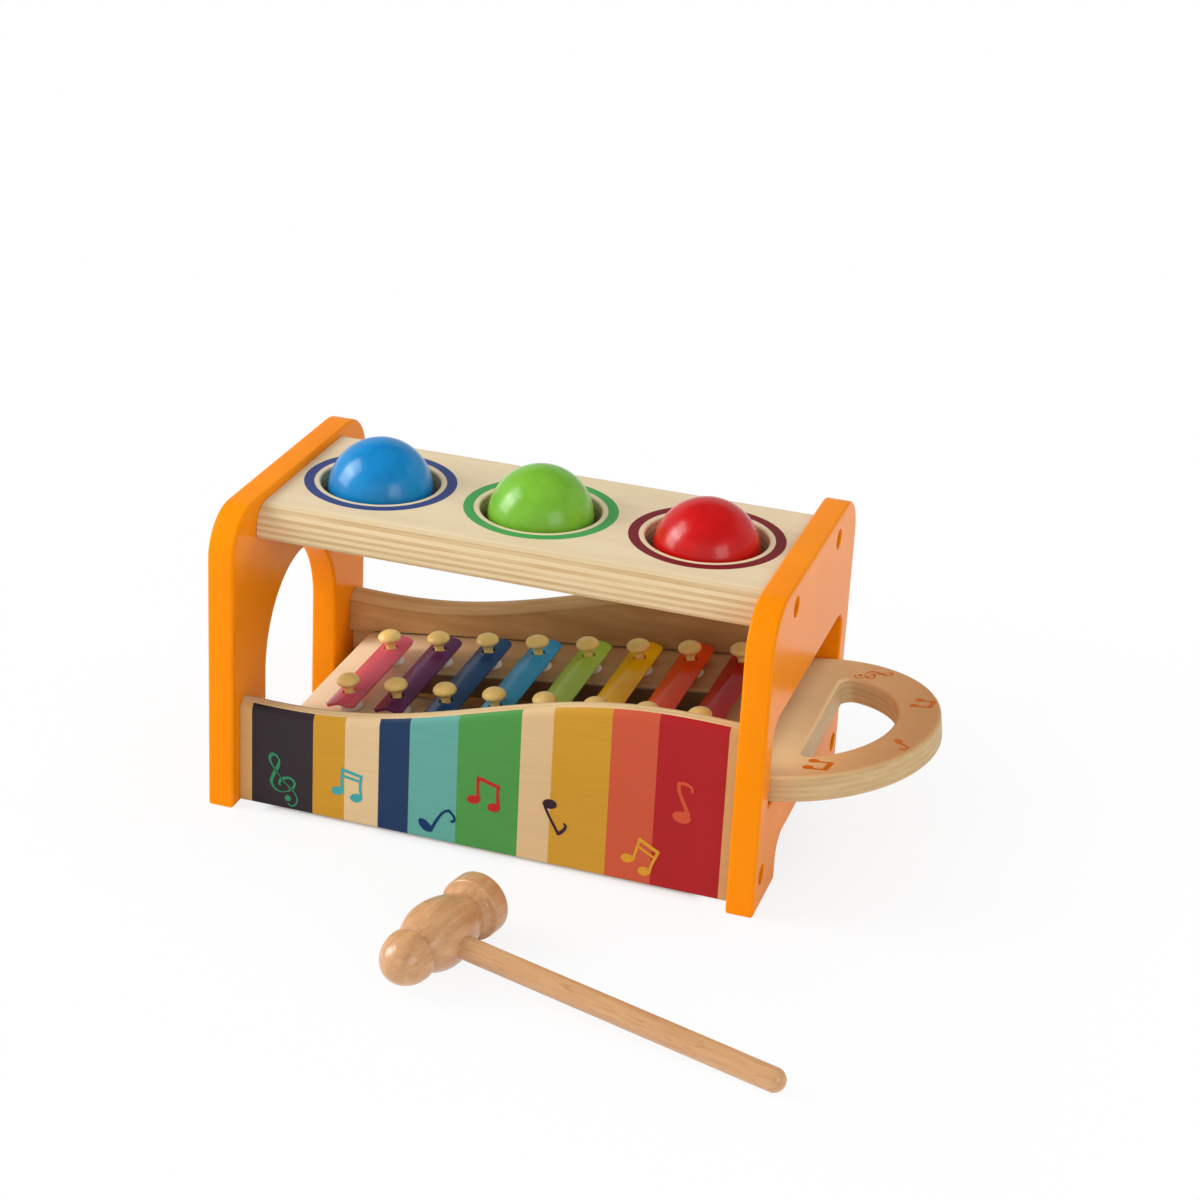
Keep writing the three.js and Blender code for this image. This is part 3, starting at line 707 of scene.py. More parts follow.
def wall_shell(side, painted):
    """Sections of inset and height at many places along X; the groove takes finish 1, its painted shade, and
    the print finish 2.
    """
    x = np.linspace(GLUE_GAP - INNER, INNER - GLUE_GAP, 121)[:, None]
    shoulder = quarter_round(OUTER_ROUND, ROUND_POINTS)[::-1]
    inner = quarter_round(INNER_ROUND, ROUND_POINTS)
    inset = np.concatenate([
        [FOOT_EASE, 0], shoulder[:, 0], WALL_THICK - inner[:, 0], [WALL_THICK],
        [WALL_THICK - GROOVE] * 2, [WALL_THICK] * 2, [WALL_THICK - FOOT_EASE],
    ])
    top, foot = wave(x), np.full_like(x, FLOOR_GAP)
    low_lip = tray_top_at(x) - (TRAY_THICK + GROOVE_BELOW) / math.cos(SLOPE)
    high_lip = tray_top_at(x) + GROOVE_ABOVE / math.cos(SLOPE)
    height = np.hstack([
        foot, foot + FOOT_EASE, top - shoulder[:, 1], top - inner[:, 1], high_lip,
        high_lip, low_lip, low_lip, foot + FOOT_EASE, foot,
    ])
    y = np.broadcast_to(side * (WALL_OUT - inset), height.shape)
    section = np.stack([np.broadcast_to(x, y.shape), y, height], axis=-1)
    column = np.arange(section.shape[1])
    lip = 2 + 2 * ROUND_POINTS
    # Painted shade: the groove's faces get the dark finish 1 where the tray runs in them.
    groove = (column >= lip) & (column < lip + 3) & (x[1:] > GROOVE_SHADE_FROM - INNER)
    printed = (column < 3 + ROUND_POINTS // 2) & painted
    shell = Shell()
    rows = shell.grid(section, wrap=True, paint=np.where(groove, 1, np.where(printed, 2, 0)))
    shell.fill(rows[0], axes=(1, 2))
    shell.fill(rows[-1], axes=(1, 2))
    return shell


front_wall, back_wall = wall_shell(-1, True), wall_shell(1, False)
print("drew the front and back panels,", len(front_wall.faces), "faces each")

# %% [markdown]
# ## Stripes on the front
#
# The front's face is printed with broad stripes from end to end, and a plain margin shows beside
# the panels. Each stripe could be a face of its own, but a colour ramp with hard steps holds them
# all in one list of places, and the ply's grain still shows through the ink.

# %% Panel finishes
STRIPES = [
    (-102.1, paint(46, 36, 42)), (-74.6, paint(200, 144, 36)), (-60.1, paint(218, 188, 142)),
    (-45.4, paint(24, 52, 88)), (-31.4, paint(94, 162, 150)), (-10.2, paint(74, 144, 68)),
    (16.8, paint(214, 180, 133)), (30.2, paint(200, 146, 42)), (54.1, paint(198, 84, 54)),
    (74.0, paint(170, 26, 30)),
]
RAMP_HALF, PRINT_END = 108.0, 102.1
WALL_LAYER, ROUGH_GRAIN = 2.0, (0.74, 0.66, 0.56, 1)


def striped_print():
    """Stripes by the way along the bench, between plain margins, with the ply's grain through the ink."""
    material, tree, shader = new_finish("striped_print", 0.4, 0.2)
    spot = millimetres(tree)
    share = calc(tree, "DIVIDE", calc(tree, "ADD", split(tree, spot)["X"], RAMP_HALF), 2 * RAMP_HALF)
    margin = paint(208, 166, 106)
    stops = [(-RAMP_HALF, margin), *STRIPES, (PRINT_END, margin)]
    stripes = ramp(tree, share, [((x + RAMP_HALF) / (2 * RAMP_HALF), ink) for x, ink in stops], "CONSTANT")
    grain = streaks(tree, spot, (0.03, 0.5, 0.9), 4.0)
    tone = ramp(tree, grain, [(0.3, (0.93, 0.92, 0.9, 1)), (0.6, WHITE)])
    set_colour(tree, shader, blend(tree, 0.7, stripes, tone, "MULTIPLY"))
    ridges(tree, shader, grain, 0.0001)
    return material


FRONT_WOOD = tones((226, 194, 148), (230, 204, 156), (216, 184, 136), (188, 148, 100))
BACK_WOOD = tones((224, 184, 128), (222, 186, 132), (222, 178, 120), (190, 146, 94))
# Painted shade: dark wood tones for the groove's faces, standing in for the shade there.
GROOVE_SHADE_WOOD = tones((92, 64, 38), (92, 64, 38), (82, 56, 32), (70, 46, 26))
UPRIGHT = np.array([[1, 0, 0, 0], [0, 0, 1, 0], [0, -1, 0, 0], [0, 0, 0, 1]], dtype=float)
front_ply = plywood("front_ply", WALL_OUT, WALL_LAYER, UPRIGHT, **FRONT_WOOD)[0]
back_ply = plywood("back_ply", WALL_OUT, WALL_LAYER, UPRIGHT, grain=ROUGH_GRAIN, **BACK_WOOD)[0]
groove_shade_ply = plywood("groove_shade_ply", WALL_OUT, WALL_LAYER, UPRIGHT, **GROOVE_SHADE_WOOD)[0]
front_finishes = [front_ply, groove_shade_ply, striped_print()]
add_piece("front_panel_waved", front_wall, BENCH, "bench", ["front_panel"], front_finishes)
add_piece("back_panel_waved", back_wall, BENCH, "bench", ["back_panel"], [back_ply, groove_shade_ply])
print("printed", len(STRIPES), "stripes")

# %% [markdown]
# ## Printed notes
#
# The stripes carry plain music notes in ink. Ink has almost no thickness, but a shape of its own
# keeps its edges crisp: each note is a set of flat outlines raised a tenth of a millimetre.
# Heads are ellipses, stems and beams are straight ribbons, flags and the clef are curved ones.

# %% Note outlines
def ellipse(x, y, long, short, turn):
    """An ellipse of two radii, turned by an angle in degrees."""
    flat = arc(0, 0, long, 0, 360, 33, short)[:-1]
    c, s = math.cos(math.radians(turn)), math.sin(math.radians(turn))
    return flat @ np.array([[c, s], [-s, c]]) + [x, y]


def smooth_path(points, count):
    """A Catmull-Rom curve: cubic blends of four neighbours at a time, whole arrays at once."""
    points = np.asarray(points, dtype=float)
    padded = np.vstack([2 * points[0] - points[1], points, 2 * points[-1] - points[-2]])
    place = np.linspace(0, len(points) - 1 - 1e-9, count)
    start = place.astype(int)
    t = (place - start)[:, None]
    p0, p1, p2, p3 = (padded[start + step] for step in range(4))
    square = 2 * p0 - 5 * p1 + 4 * p2 - p3
    cube = 3 * p1 - p0 - 3 * p2 + p3
    return 0.5 * (2 * p1 + (p2 - p0) * t + square * t**2 + cube * t**3)


def ribbon(points, widths, count=24):
    """A band's two sides: a smooth path plus and minus half its width along the normals."""
    path = smooth_path(points, count)
    slope = np.gradient(path, axis=0)
    slope /= np.linalg.norm(slope, axis=1, keepdims=True)
    normal = np.column_stack([-slope[:, 1], slope[:, 0]])
    share = np.linspace(0, 1, len(widths))
    half = np.interp(np.linspace(0, 1, count), share, widths)[:, None] / 2
    return np.stack([path - half * normal, path + half * normal], axis=1)


def note(heads, strokes):
    """A drawn note: an ellipse for each head, a ribbon for each stroke through its points."""
    return [ellipse(*head) for head in heads] + [ribbon(*stroke) for stroke in strokes]


def moved(parts, size, turn, x, y):
    """Parts drawn about zero, scaled, turned by an angle in degrees and moved."""
    c, s = size * math.cos(math.radians(turn)), size * math.sin(math.radians(turn))
    return [part @ np.array([[c, s], [-s, c]]) + [x, y] for part in parts]


CLEF = note([(2.5, -7.6, 1.45, 1.4, 0)], [([
    (-0.8, -2.4), (-1.5, -1.2), (-0.8, 0.5), (0.5, 1.4), (2.5, 2.1), (4.4, 1.7), (5.5, 0.2),
    (5.2, -1.6), (4.0, -3.1), (2.1, -4.4), (-0.2, -5.1), (-2.7, -4.6), (-4.3, -3.1), (-5.1, -1.0),
    (-4.5, 1.4), (-3.4, 3.9), (-2.2, 6.4), (-1.6, 8.6), (-1.9, 10.3), (-3.0, 11.6), (-4.6, 11.9),
    (-5.8, 10.5), (-5.6, 8.5), (-4.8, 6.8), (-3.8, 5.5), (-1.7, 2.7), (0.4, 0.1), (2.3, -1.5),
    (4.0, -3.1), (5.4, -4.3), (6.4, -6.1), (6.8, -8.1), (5.8, -10.2), (3.9, -10.9), (2.5, -10.0),
], [
    0.4, 1.0, 1.3, 1.4, 1.1, 1.0, 1.0, 1.0, 1.0, 0.4, 0.4, 0.8, 1.1, 1.4, 1.5, 1.6, 1.5, 1.0,
    0.6, 0.9, 1.5, 1.4, 0.9, 0.7, 0.5, 0.4, 0.4, 0.5, 0.7, 0.5, 0.6, 0.7, 0.6, 0.6, 0.5,
], 240)])
print("outlines in a clef:", len(CLEF))

# %% [markdown]
# Each note has its own ink and hand, so each is drawn straight in the panel's millimetres: along
# the bench and up. Four small ones go on the tray's handle, so the same function takes the face
# as a place.

# %% Notes on the front panel
FRONT_FACE = np.array([[1, 0, 0, 0], [0, 0, -1, -WALL_OUT], [0, 1, 0, 0], [0, 0, 0, 1]])
INK_LOW, INK_HIGH, INK_STEP = 0.02, 0.1, 0.01


def raised_note(parts):
    """Outlines and ribbons on a face, raised as thin prisms, each a hair above the one before."""
    shell = Shell()
    for step, flat in enumerate(parts):
        low, high = INK_LOW, INK_HIGH + INK_STEP * step
        if flat.ndim == 3:
            band = np.concatenate([flat, flat[:, ::-1]], axis=1)
            height = np.broadcast_to([low, low, high, high], band.shape[:2])
            rows = shell.grid(np.dstack([band, height]), wrap=True)
            shell.face(rows[0], rows[-1])
        else:
            height = np.broadcast_to([[low], [high]], (2, len(flat)))
            rows = shell.grid(np.dstack([np.stack([flat, flat]), height]), wrap=True)
            shell.face(rows[0], rows[1])
    return shell


def ink_finish(name, colour):
    """Flat ink, a little worn by the grain below it."""
    material, tree, shader = new_finish(name, 0.4, 0.1)
    worn = streaks(tree, millimetres(tree), (0.2, 0.8, 0.8), 4.0)
    faded = tuple(np.array(colour) * [0.9, 0.9, 0.9, 1])
    set_colour(tree, shader, ramp(tree, worn, [(0.3, faded), (0.6, colour)]))
    return material


NOTES = {
    "clef": (paint(52, 136, 92), moved(CLEF, 1.0, 0, -88, 14)),
    "teal_pair": (paint(66, 160, 160), note(
        [(-63.0, 14.9, 2.7, 2.0, 12), (-54.5, 13.2, 2.8, 2.0, 12)],
        [([(-60.7, 15.0), (-61.1, 20.5), (-60.8, 25.4)], [1.3, 1.1, 1.3]),
         ([(-52.2, 13.4), (-52.8, 18.5), (-52.4, 23.4)], [1.3, 1.1, 1.3]),
         ([(-61.4, 25.4), (-51.8, 23.5)], [1.4, 1.4]), ([(-61.2, 22.5), (-52.8, 21.2)], [1.1, 1.1])])),
    "navy_eighth": (paint(22, 54, 96), note(
        [(-23.5, 7.3, 3.6, 2.1, -42), (-11.5, 11.6, 0.8, 0.7, 0)],
        [([(-21.2, 5.0), (-18.4, 10.8), (-15.7, 14.9), (-12.9, 16.5)], [1.7, 1.2, 1.1, 1.2]),
         ([(-13.3, 16.5), (-11.3, 14.5), (-10.5, 12.6), (-11.2, 11.4)], [1.3, 1.1, 1.0, 0.9])])),
    "red_pair": (paint(184, 40, 38), note(
        [(-2.6, 23.9, 2.9, 2.0, 10), (6.3, 22.0, 2.8, 2.0, 10)],
        [([(-0.3, 24.0), (-0.9, 29.0), (-0.8, 34.2)], [1.5, 1.1, 1.4]),
         ([(8.4, 22.0), (7.7, 28.0), (8.1, 32.0)], [1.5, 1.1, 1.4]),
         ([(-1.3, 34.4), (8.6, 31.7)], [1.6, 1.6])])),
    "dark_eighth": (paint(58, 36, 48), note(
        [(30.3, 29.0, 3.1, 2.2, 5)],
        [([(28.2, 27.6), (30.4, 23.1), (32.8, 19.0), (34.7, 15.7)], [1.2, 1.1, 1.2, 1.4]),
         ([(34.4, 15.9), (36.6, 18.2), (37.5, 20.2), (36.5, 21.5)], [1.5, 1.5, 1.2, 0.7])])),
    "yellow_pair": (paint(212, 152, 46), note(
        [(64.2, 11.6, 2.6, 2.0, 5), (71.6, 7.2, 2.7, 2.0, 5)],
        [([(66.6, 11.0), (67.7, 15.6), (69.1, 21.2)], [1.3, 1.1, 1.3]),
         ([(73.7, 6.6), (74.6, 10.8), (76.9, 16.6)], [1.3, 1.1, 1.3]),
         ([(68.6, 21.6), (77.5, 16.7)], [1.5, 1.5]), ([(68.3, 18.2), (75.6, 14.2)], [1.0, 1.0])])),
    "coral_eighth": (paint(204, 84, 54), note(
        [(85.8, 35.1, 3.9, 2.6, -6)],
        [([(88.5, 36.4), (86.4, 41.4), (84.3, 46.1), (83.7, 50.2)], [2.0, 1.6, 1.5, 1.5]),
         ([(83.1, 50.1), (86.6, 50.3), (89.0, 49.2), (89.7, 47.0)], [1.2, 1.4, 1.2, 1.0])])),
}
for name, (colour, parts) in NOTES.items():
    ink = ink_finish(f"ink_{name}", colour)
    add_piece(f"note_{name}", raised_note(parts), FRONT_FACE, "bench", [], [ink])
print("made", len(NOTES), "notes on the front panel")

# %% [markdown]
# ## The tray
#
# The tray is one plywood plate: a long body with a window under the keys, and a half-round
# handle with a D-shaped hole. It is drawn flat in its own axes and laid on the slope, which is
# simpler than drawing it sloped. Its finish carries painted light: paler at the low end, where
# light comes in through the arch, and warmer and lighter at the handle's root, with painted shade
# darker towards the handle's far end. The window's edge is painted brown, a painted shade.

# %% Tray
TRAY_HALF, TRAY_EDGE, TAIL_CORNER, TAIL_GAP = 58.0, 1.4, 6.0, 9.75
HANDLE_REACH, GRIP_GAP, GRIP_CORNER, GRIP_WIDTH = 55.35, 6.2, 4.0, 18.0
WINDOW_MARGIN, WINDOW_PAST, WINDOW_CORNER = 6.5, 1.5, 4.0
KEY_COUNT, KEY_START, KEY_END, KEY_ROOM, KEY_STEP = 8, 24.0, 24.05, 4.9, 3.9
PEG_ROOM, PEG_STEP = 21.6, 2.65
TRAY_LAYER, TRAY_GRAIN = 1.3, (0.84, 0.78, 0.7, 1)
TAIL = -(INNER - TAIL_GAP) / math.cos(SLOPE)
OUTER_U = OUTER / math.cos(SLOPE)
HANDLE = OUTER_U + HANDLE_REACH - TRAY_HALF
KEY_U = np.linspace(TAIL + KEY_START, INNER / math.cos(SLOPE) - KEY_END, KEY_COUNT)
from_longest = np.arange(KEY_COUNT)[::-1]
KEY_HALF = WALL_OUT - WALL_THICK - KEY_ROOM - from_longest * KEY_STEP / 2
PEG_V = WALL_OUT - WALL_THICK - PEG_ROOM - from_longest * PEG_STEP / 2


def tray_outlines():
    """The body and handle, the D-shaped hole with eased corners, and the window."""
    corner, flank = TAIL + TAIL_CORNER, TRAY_HALF - TAIL_CORNER
    body = outline(
        arc(corner, -flank, TAIL_CORNER, 180, 270), arc(HANDLE, 0, TRAY_HALF, -90, 90, 72),
        arc(corner, flank, TAIL_CORNER, 90, 180),
    )
    across, hollow = OUTER_U + GRIP_GAP + GRIP_CORNER, TRAY_HALF - GRIP_WIDTH
    up = math.sqrt((hollow - GRIP_CORNER) ** 2 - (across - HANDLE) ** 2)
    turn = math.degrees(math.atan2(up, across - HANDLE))
    grip = outline(
        arc(across, -up, GRIP_CORNER, 180, 360 - turn), arc(HANDLE, 0, hollow, -turn, turn, 48)[1:-1],
        arc(across, up, GRIP_CORNER, turn, 180),
    )
    half = PEG_V[0] - WINDOW_MARGIN
    window = rounded_box((KEY_U[0] + KEY_U[1]) / 2, -half, KEY_U[-1] + WINDOW_PAST, half, WINDOW_CORNER)
    return [body, grip[::-1], window[::-1]]


def tray_finish():
    """Plywood with painted light at the low end and the handle's root, painted shade out on the handle and in
    the window.
    """
    material, tree, shader, spot, colour = plywood(
        "birch_tray", 0.0, TRAY_LAYER, TRAY, 0.08, TRAY_GRAIN, **TRAY_WOOD,
    )
    along, across, height = split(tree, spot)
    downhill, depth = (calc(tree, "MULTIPLY", value, -1.0) for value in (along, height))
    # Painted light: the low end is paler, where light comes in through the arch.
    low_end_light = smooth_step(tree, downhill, start=20.0, end=95.0, height=0.75)
    colour = blend(tree, low_end_light, colour, paint(255, 232, 196))
    # Painted light and shade on the handle's top: lighter at its root, darker towards its far end.
    past_slot = smooth_step(tree, along, start=OUTER_U - 14, end=OUTER_U - 2, height=0.7)
    on_top = smooth_step(tree, height, start=-1.6, end=-0.4, height=1.0)
    out = calc(tree, "DIVIDE", calc(tree, "SUBTRACT", along, OUTER_U), 55.0)
    handle_light_and_shade = [(0.0, paint(255, 224, 168)), (0.3, paint(236, 194, 134)), (0.85, paint(206, 154, 98))]
    colour = blend(tree, calc(tree, "MULTIPLY", past_slot, on_top), colour, ramp(tree, out, handle_light_and_shade))
    inside = calc(tree, "LESS_THAN", calc(tree, "ABSOLUTE", across), PEG_V[0] - WINDOW_MARGIN + 1)
    inside = calc(tree, "MULTIPLY", inside, calc(tree, "LESS_THAN", along, KEY_U[-1] + 6))
    inside = calc(tree, "MULTIPLY", inside, calc(tree, "GREATER_THAN", along, KEY_U[0] + 8))
    # Painted shade: the window's inner edge below the top face is darkened to brown.
    window_shade = smooth_step(tree, depth, start=0.6, end=2.0, height=0.85)
    colour = blend(tree, calc(tree, "MULTIPLY", inside, window_shade), colour, paint(104, 70, 42))
    set_colour(tree, shader, colour)
    return material


birch_tray = tray_finish()
tray_plate = rounded_plate(tray_outlines(), TRAY_THICK, TRAY_EDGE)
tray_place = shifted(TRAY, 0, 0, -TRAY_THICK)
add_piece("tray_rounded", tray_plate, tray_place, "tray", ["tray"], [birch_tray])
print("made the tray,", len(tray_plate.faces), "faces")

# %% [markdown]
# ## Notes on the handle
#
# Four small notes in orange ink run round the handle, each turned its own way. They are drawn by
# the same function as the front's, but in the tray's axes, so that they ride on it when it
# slides. Ink of their own, not a pattern in the plywood, keeps them crisp at this size.

# %% Notes on the handle
handle_ink = ink_finish("ink_handle", paint(216, 112, 16))
HANDLE_NOTES = {
    "handle_front": note(
        [(133.7, -41.6, 2.2, 1.6, 0), (132.7, -47.6, 2.3, 1.6, 0)],
        [([(133.9, -42.2), (141.2, -42.6)], [1.0, 0.9]), ([(133.0, -48.6), (140.4, -48.8)], [1.0, 0.9]),
         ([(141.0, -42.0), (139.8, -49.2)], [2.3, 2.3])]),
    "handle_front_right": note(
        [(163.0, -18.6, 2.1, 1.5, -40)],
        [([(162.6, -19.8), (165.8, -21.6), (168.3, -24.2)], [1.2, 1.0, 1.1]),
         ([(168.2, -23.8), (166.9, -25.9), (164.9, -25.2)], [1.1, 1.0, 0.8])]),
    "handle_back_right": note(
        [(163.6, 21.2, 1.9, 1.4, 0), (162.4, 15.6, 2.0, 1.4, 0)],
        [([(163.8, 20.5), (169.8, 20.6)], [0.9, 0.8]), ([(162.6, 14.8), (169.3, 14.8)], [0.9, 0.8]),
         ([(169.7, 21.0), (169.0, 14.5)], [1.6, 1.6])]),
    "handle_back": moved(CLEF, 0.66, -97, 139.0, 42.8),
}
for name, parts in HANDLE_NOTES.items():
    add_piece(f"note_{name}", raised_note(parts), TRAY, "tray", [], [handle_ink])
print("made", len(HANDLE_NOTES), "notes on the handle")

# %% [markdown]
# ## Keys
#
# A key is a strip of enamelled steel, bent to a low arch across its width, with a hole for each
# peg. Round a hole a ring of cells runs out to a square, the rest is plain grids, and one height
# function lifts them all. Solidify then gives the sheet its gauge and a bevel eases its edges.

# %% Keys
KEY_TOP, KEY_WIDE, KEY_GAUGE, CROWN, CORNER = 6.03, 6.8, 1.4, 1.9, 3.0
KEY_HOLE, HOLE_CELL, KEY_COLUMNS, CELL_POINTS = 3.1, 5.0, 17, 13
KEY_EASE, EASE_ANGLE = 0.0004, math.radians(50)
KEY_PAINT = {
    "pink": paint(220, 98, 114), "purple": paint(102, 46, 92), "navy": paint(28, 74, 120),
    "sky": paint(54, 162, 212), "green": paint(176, 212, 80), "yellow": paint(255, 196, 8),
    "orange": paint(244, 84, 22), "crimson": paint(184, 26, 26),
}


def key_height(flat):
    """The height of the edges, plus the crown times 1 minus the share across to the power of 1.5."""
    return KEY_TOP + CROWN * (1 - np.abs(flat[..., 0] / KEY_WIDE) ** 1.5)


def key_shell(half, reach):
    """A middle grid, a ring of cells round each hole, and end grids that narrow round the corners."""
    across = np.linspace(-KEY_WIDE, KEY_WIDE, KEY_COLUMNS)
    low, high = reach - HOLE_CELL, reach + HOLE_CELL
    side = np.linspace(low, high, CELL_POINTS)
    sides = ((across, low), (KEY_WIDE, side), (across[::-1], high), (-KEY_WIDE, side[::-1]))
    edge = outline(*[np.column_stack(np.broadcast_arrays(u, v)) for u, v in sides])
    ray = edge - [0, reach]
    hole = KEY_HOLE * ray / np.linalg.norm(ray, axis=1, keepdims=True) + [0, reach]
    share = np.array([1, 0.8, 0.55, 0.3, 0.08, 0])[:, None, None]
    ring = hole + share * (edge - hole)
    middle = np.stack(np.meshgrid(across, np.linspace(-low, low, 61)), axis=-1)
    turn = np.radians(np.linspace(0, 90, 10))
    far = np.concatenate([[high], half - CORNER + CORNER * np.sin(turn)])[:, None]
    wide = np.concatenate([[KEY_WIDE], KEY_WIDE - CORNER + CORNER * np.cos(turn)])[:, None]
    end = np.stack(np.broadcast_arrays(wide * across / KEY_WIDE, far), axis=-1)
    shell = Shell()
    for flat, wrap in ((middle, False), (ring, True), (-ring, True), (end, False), (-end, False)):
        shell.grid(np.dstack([flat, key_height(flat)]), wrap=wrap)
    return shell


def add_key(index, colour_name, colour):
    """A key at its place in the row: a sheet of one gauge with eased edges, in its own enamel."""
    node = f"key_{index + 1}_{colour_name}"
    shade = tuple(np.array(colour) * [0.88, 0.88, 0.88, 1])
    enamel = gloss_paint(f"enamel_{colour_name}", colour, shade, roughness=0.14, ripple=0.00003, shine=0.12)
    place, shell = shifted(TRAY, KEY_U[index], 0, 0), key_shell(KEY_HALF[index], PEG_V[index])
    key = add_piece(f"{node}_pressed", shell, place, "tray", [node], [enamel], closed=False)
    sheet = key.modifiers.new("gauge", "SOLIDIFY")
    sheet.thickness = KEY_GAUGE / 1000
    sheet.offset = -1
    edge = key.modifiers.new("edge", "BEVEL")
    edge.width = KEY_EASE
    edge.segments = 2
    edge.limit_method = "ANGLE"
    edge.angle_limit = EASE_ANGLE
    return key


for index, (colour_name, colour) in enumerate(KEY_PAINT.items()):
    key = add_key(index, colour_name, colour)
print("made", len(KEY_PAINT), "keys, normals up:", key.data.polygons[0].normal.z > 0)

# %% [markdown]
# ## Pegs and spacers
#
# Mushroom pegs of pale yellow plastic hold each key down, over soft white cones. Both are turned
# profiles, drawn once and set down sixteen times. Their finish is two near tones in soft spots,
# and the plastic lets a little light in, which subsurface scattering gives.

# %% Pegs
PEG_HEAD, PEG_BRIM, PEG_UNDER, PEG_NECK = 5.1, 12.53, 2.5, 2.7


def mottled(name, roughness, shine, spacing, detail, dark, light):
    """Two near tones of one colour, in the soft spots of an even noise."""
    material, tree, shader = new_finish(name, roughness, shine)
    spots = streaks(tree, millimetres(tree), (spacing, spacing, spacing), detail)
    set_colour(tree, shader, ramp(tree, spots, [(0.3, dark), (0.7, light)]))
    return material


yellow, pale_yellow = paint(250, 214, 124), paint(254, 224, 140)
grey, white = paint(226, 224, 218), paint(246, 245, 240)
peg_plastic = mottled("peg_plastic", 0.28, 0.4, 0.25, 3.0, yellow, pale_yellow)
plastic = peg_plastic.node_tree.nodes["Principled BSDF"].inputs
plastic["Subsurface Weight"].default_value = 0.2
plastic["Subsurface Radius"].default_value = (0.002, 0.0015, 0.0008)
spacer_rubber = mottled("spacer_rubber", 0.7, 0.3, 0.3, 3.0, grey, white)

stem = np.array([[0, -8], [2, -8], [2, 7.9], [2.1, 8.7], [2.5, 9.6]])
under = arc(0, PEG_BRIM, PEG_HEAD, -75, 0, 12, PEG_UNDER)
crown = arc(0, PEG_BRIM, PEG_HEAD, 0, 90, 16, PEG_TOP - PEG_BRIM)
peg_profile = np.vstack([stem, under[under[:, 0] > PEG_NECK], crown[1:-1], [0, PEG_TOP]])
cone = [[2.3, 0.3], [5.2, 0.3], [5.4, 0.7], [4.8, 3.1], [4.4, 5.2], [4.0, 5.5], [2.3, 5.5], [2.3, 0.3]]
for row, side in (("back", 1), ("front", -1)):
    for index in range(KEY_COUNT):
        place = shifted(TRAY, KEY_U[index], side * PEG_V[index], 0)
        peg, spacer = f"peg_{row}_{index + 1}", f"spacer_{row}_{index + 1}"
        turned_peg, turned_cone = turned_shell(peg_profile, 36), turned_shell(cone, 36)
        add_piece(f"{peg}_turned", turned_peg, place, "tray", [peg], [peg_plastic], sharp=50)
        add_piece(f"{spacer}_turned", turned_cone, place, "tray", [spacer], [spacer_rubber])
print("made", 2 * KEY_COUNT, "pegs and as many spacers")

# %% [markdown]
# ## Rubber sheet
#
# Only the lips of the black rubber sheet show, deep in the holes round the balls. A finer mesh
# would show no more there, so the CAD node is kept as it is and gets a matte rubber finish.

# %% Rubber
black, soft_black = paint(38, 37, 36), paint(52, 51, 50)
rubber = mottled("grip_rubber", 0.75, 0.3, 0.5, 2.0, black, soft_black)
sheet_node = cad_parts["grip_sheet"]
sheet_node.data.materials.clear()
sheet_node.data.materials.append(rubber)
print("rubber on", sheet_node.name)

# %% [markdown]
# ## The hammer
#
# Its head is turned beech: a striking disc, a swelling barrel and a domed knob, with a dowel
# driven into the barrel. Both are turned profiles. The head lies on its barrel, its disc's rim
# and the tip of the handle, so it is tilted twice before it is set down.

# %% Hammer
DISC, DISC_HEIGHT, RIM, DISC_CONTACT = 12.9, 9.2, 1.2, 4.6
BARREL, BARREL_AT, LOW_NECK, HIGH_NECK = 13.6, 32.0, 9.3, 8.0
LOW_NECK_AT, HIGH_NECK_AT = 12.9, 47.9
KNOB, KNOB_LOW, KNOB_AT, HEAD_LENGTH = 10.7, 50.3, 50.4, 64.0
DOWEL, REACH, TENON, TURN = 4.7, 149.4, 6.0, math.radians(-12)


def beech(name, along):
    """Warm lacquered wood: soft grain, and the short dark flecks that beech has, drawn out along an axis."""
    material, tree, shader = new_finish(name, 0.22, 0.6)
    spot = millimetres(tree, along)
    grain = streaks(tree, spot, (0.3, 0.3, 0.025), 5.0)
    fleck = streaks(tree, spot, (1.4, 1.4, 0.16), 2.0, 0.4)
    tone = ramp(tree, grain, [(0.3, paint(194, 142, 96)), (0.7, paint(216, 168, 120))])
    dark = ramp(tree, fleck, [(0.3, (0.8, 0.7, 0.6, 1)), (0.4, WHITE)])
    set_colour(tree, shader, blend(tree, 0.6, tone, dark, "MULTIPLY"))
    ridges(tree, shader, grain, 0.0001)
    return material


def hammer_place():
    """The head laid flat, tilted to rest on disc and barrel, dipped to the handle's tip and turned."""
    tilt = math.atan2(BARREL - DISC, BARREL_AT - DISC_CONTACT)
    dip = math.asin((BARREL - DOWEL) / REACH)
    laid = Matrix.Translation((0, BARREL_AT, 0)) @ Matrix.Rotation(math.pi / 2, 4, "X")
    tipped = Matrix.Rotation(-tilt, 4, "X") @ Matrix.Rotation(dip, 4, "Y") @ laid
    return np.array(Matrix.Rotation(TURN, 4, "Z") @ tipped)


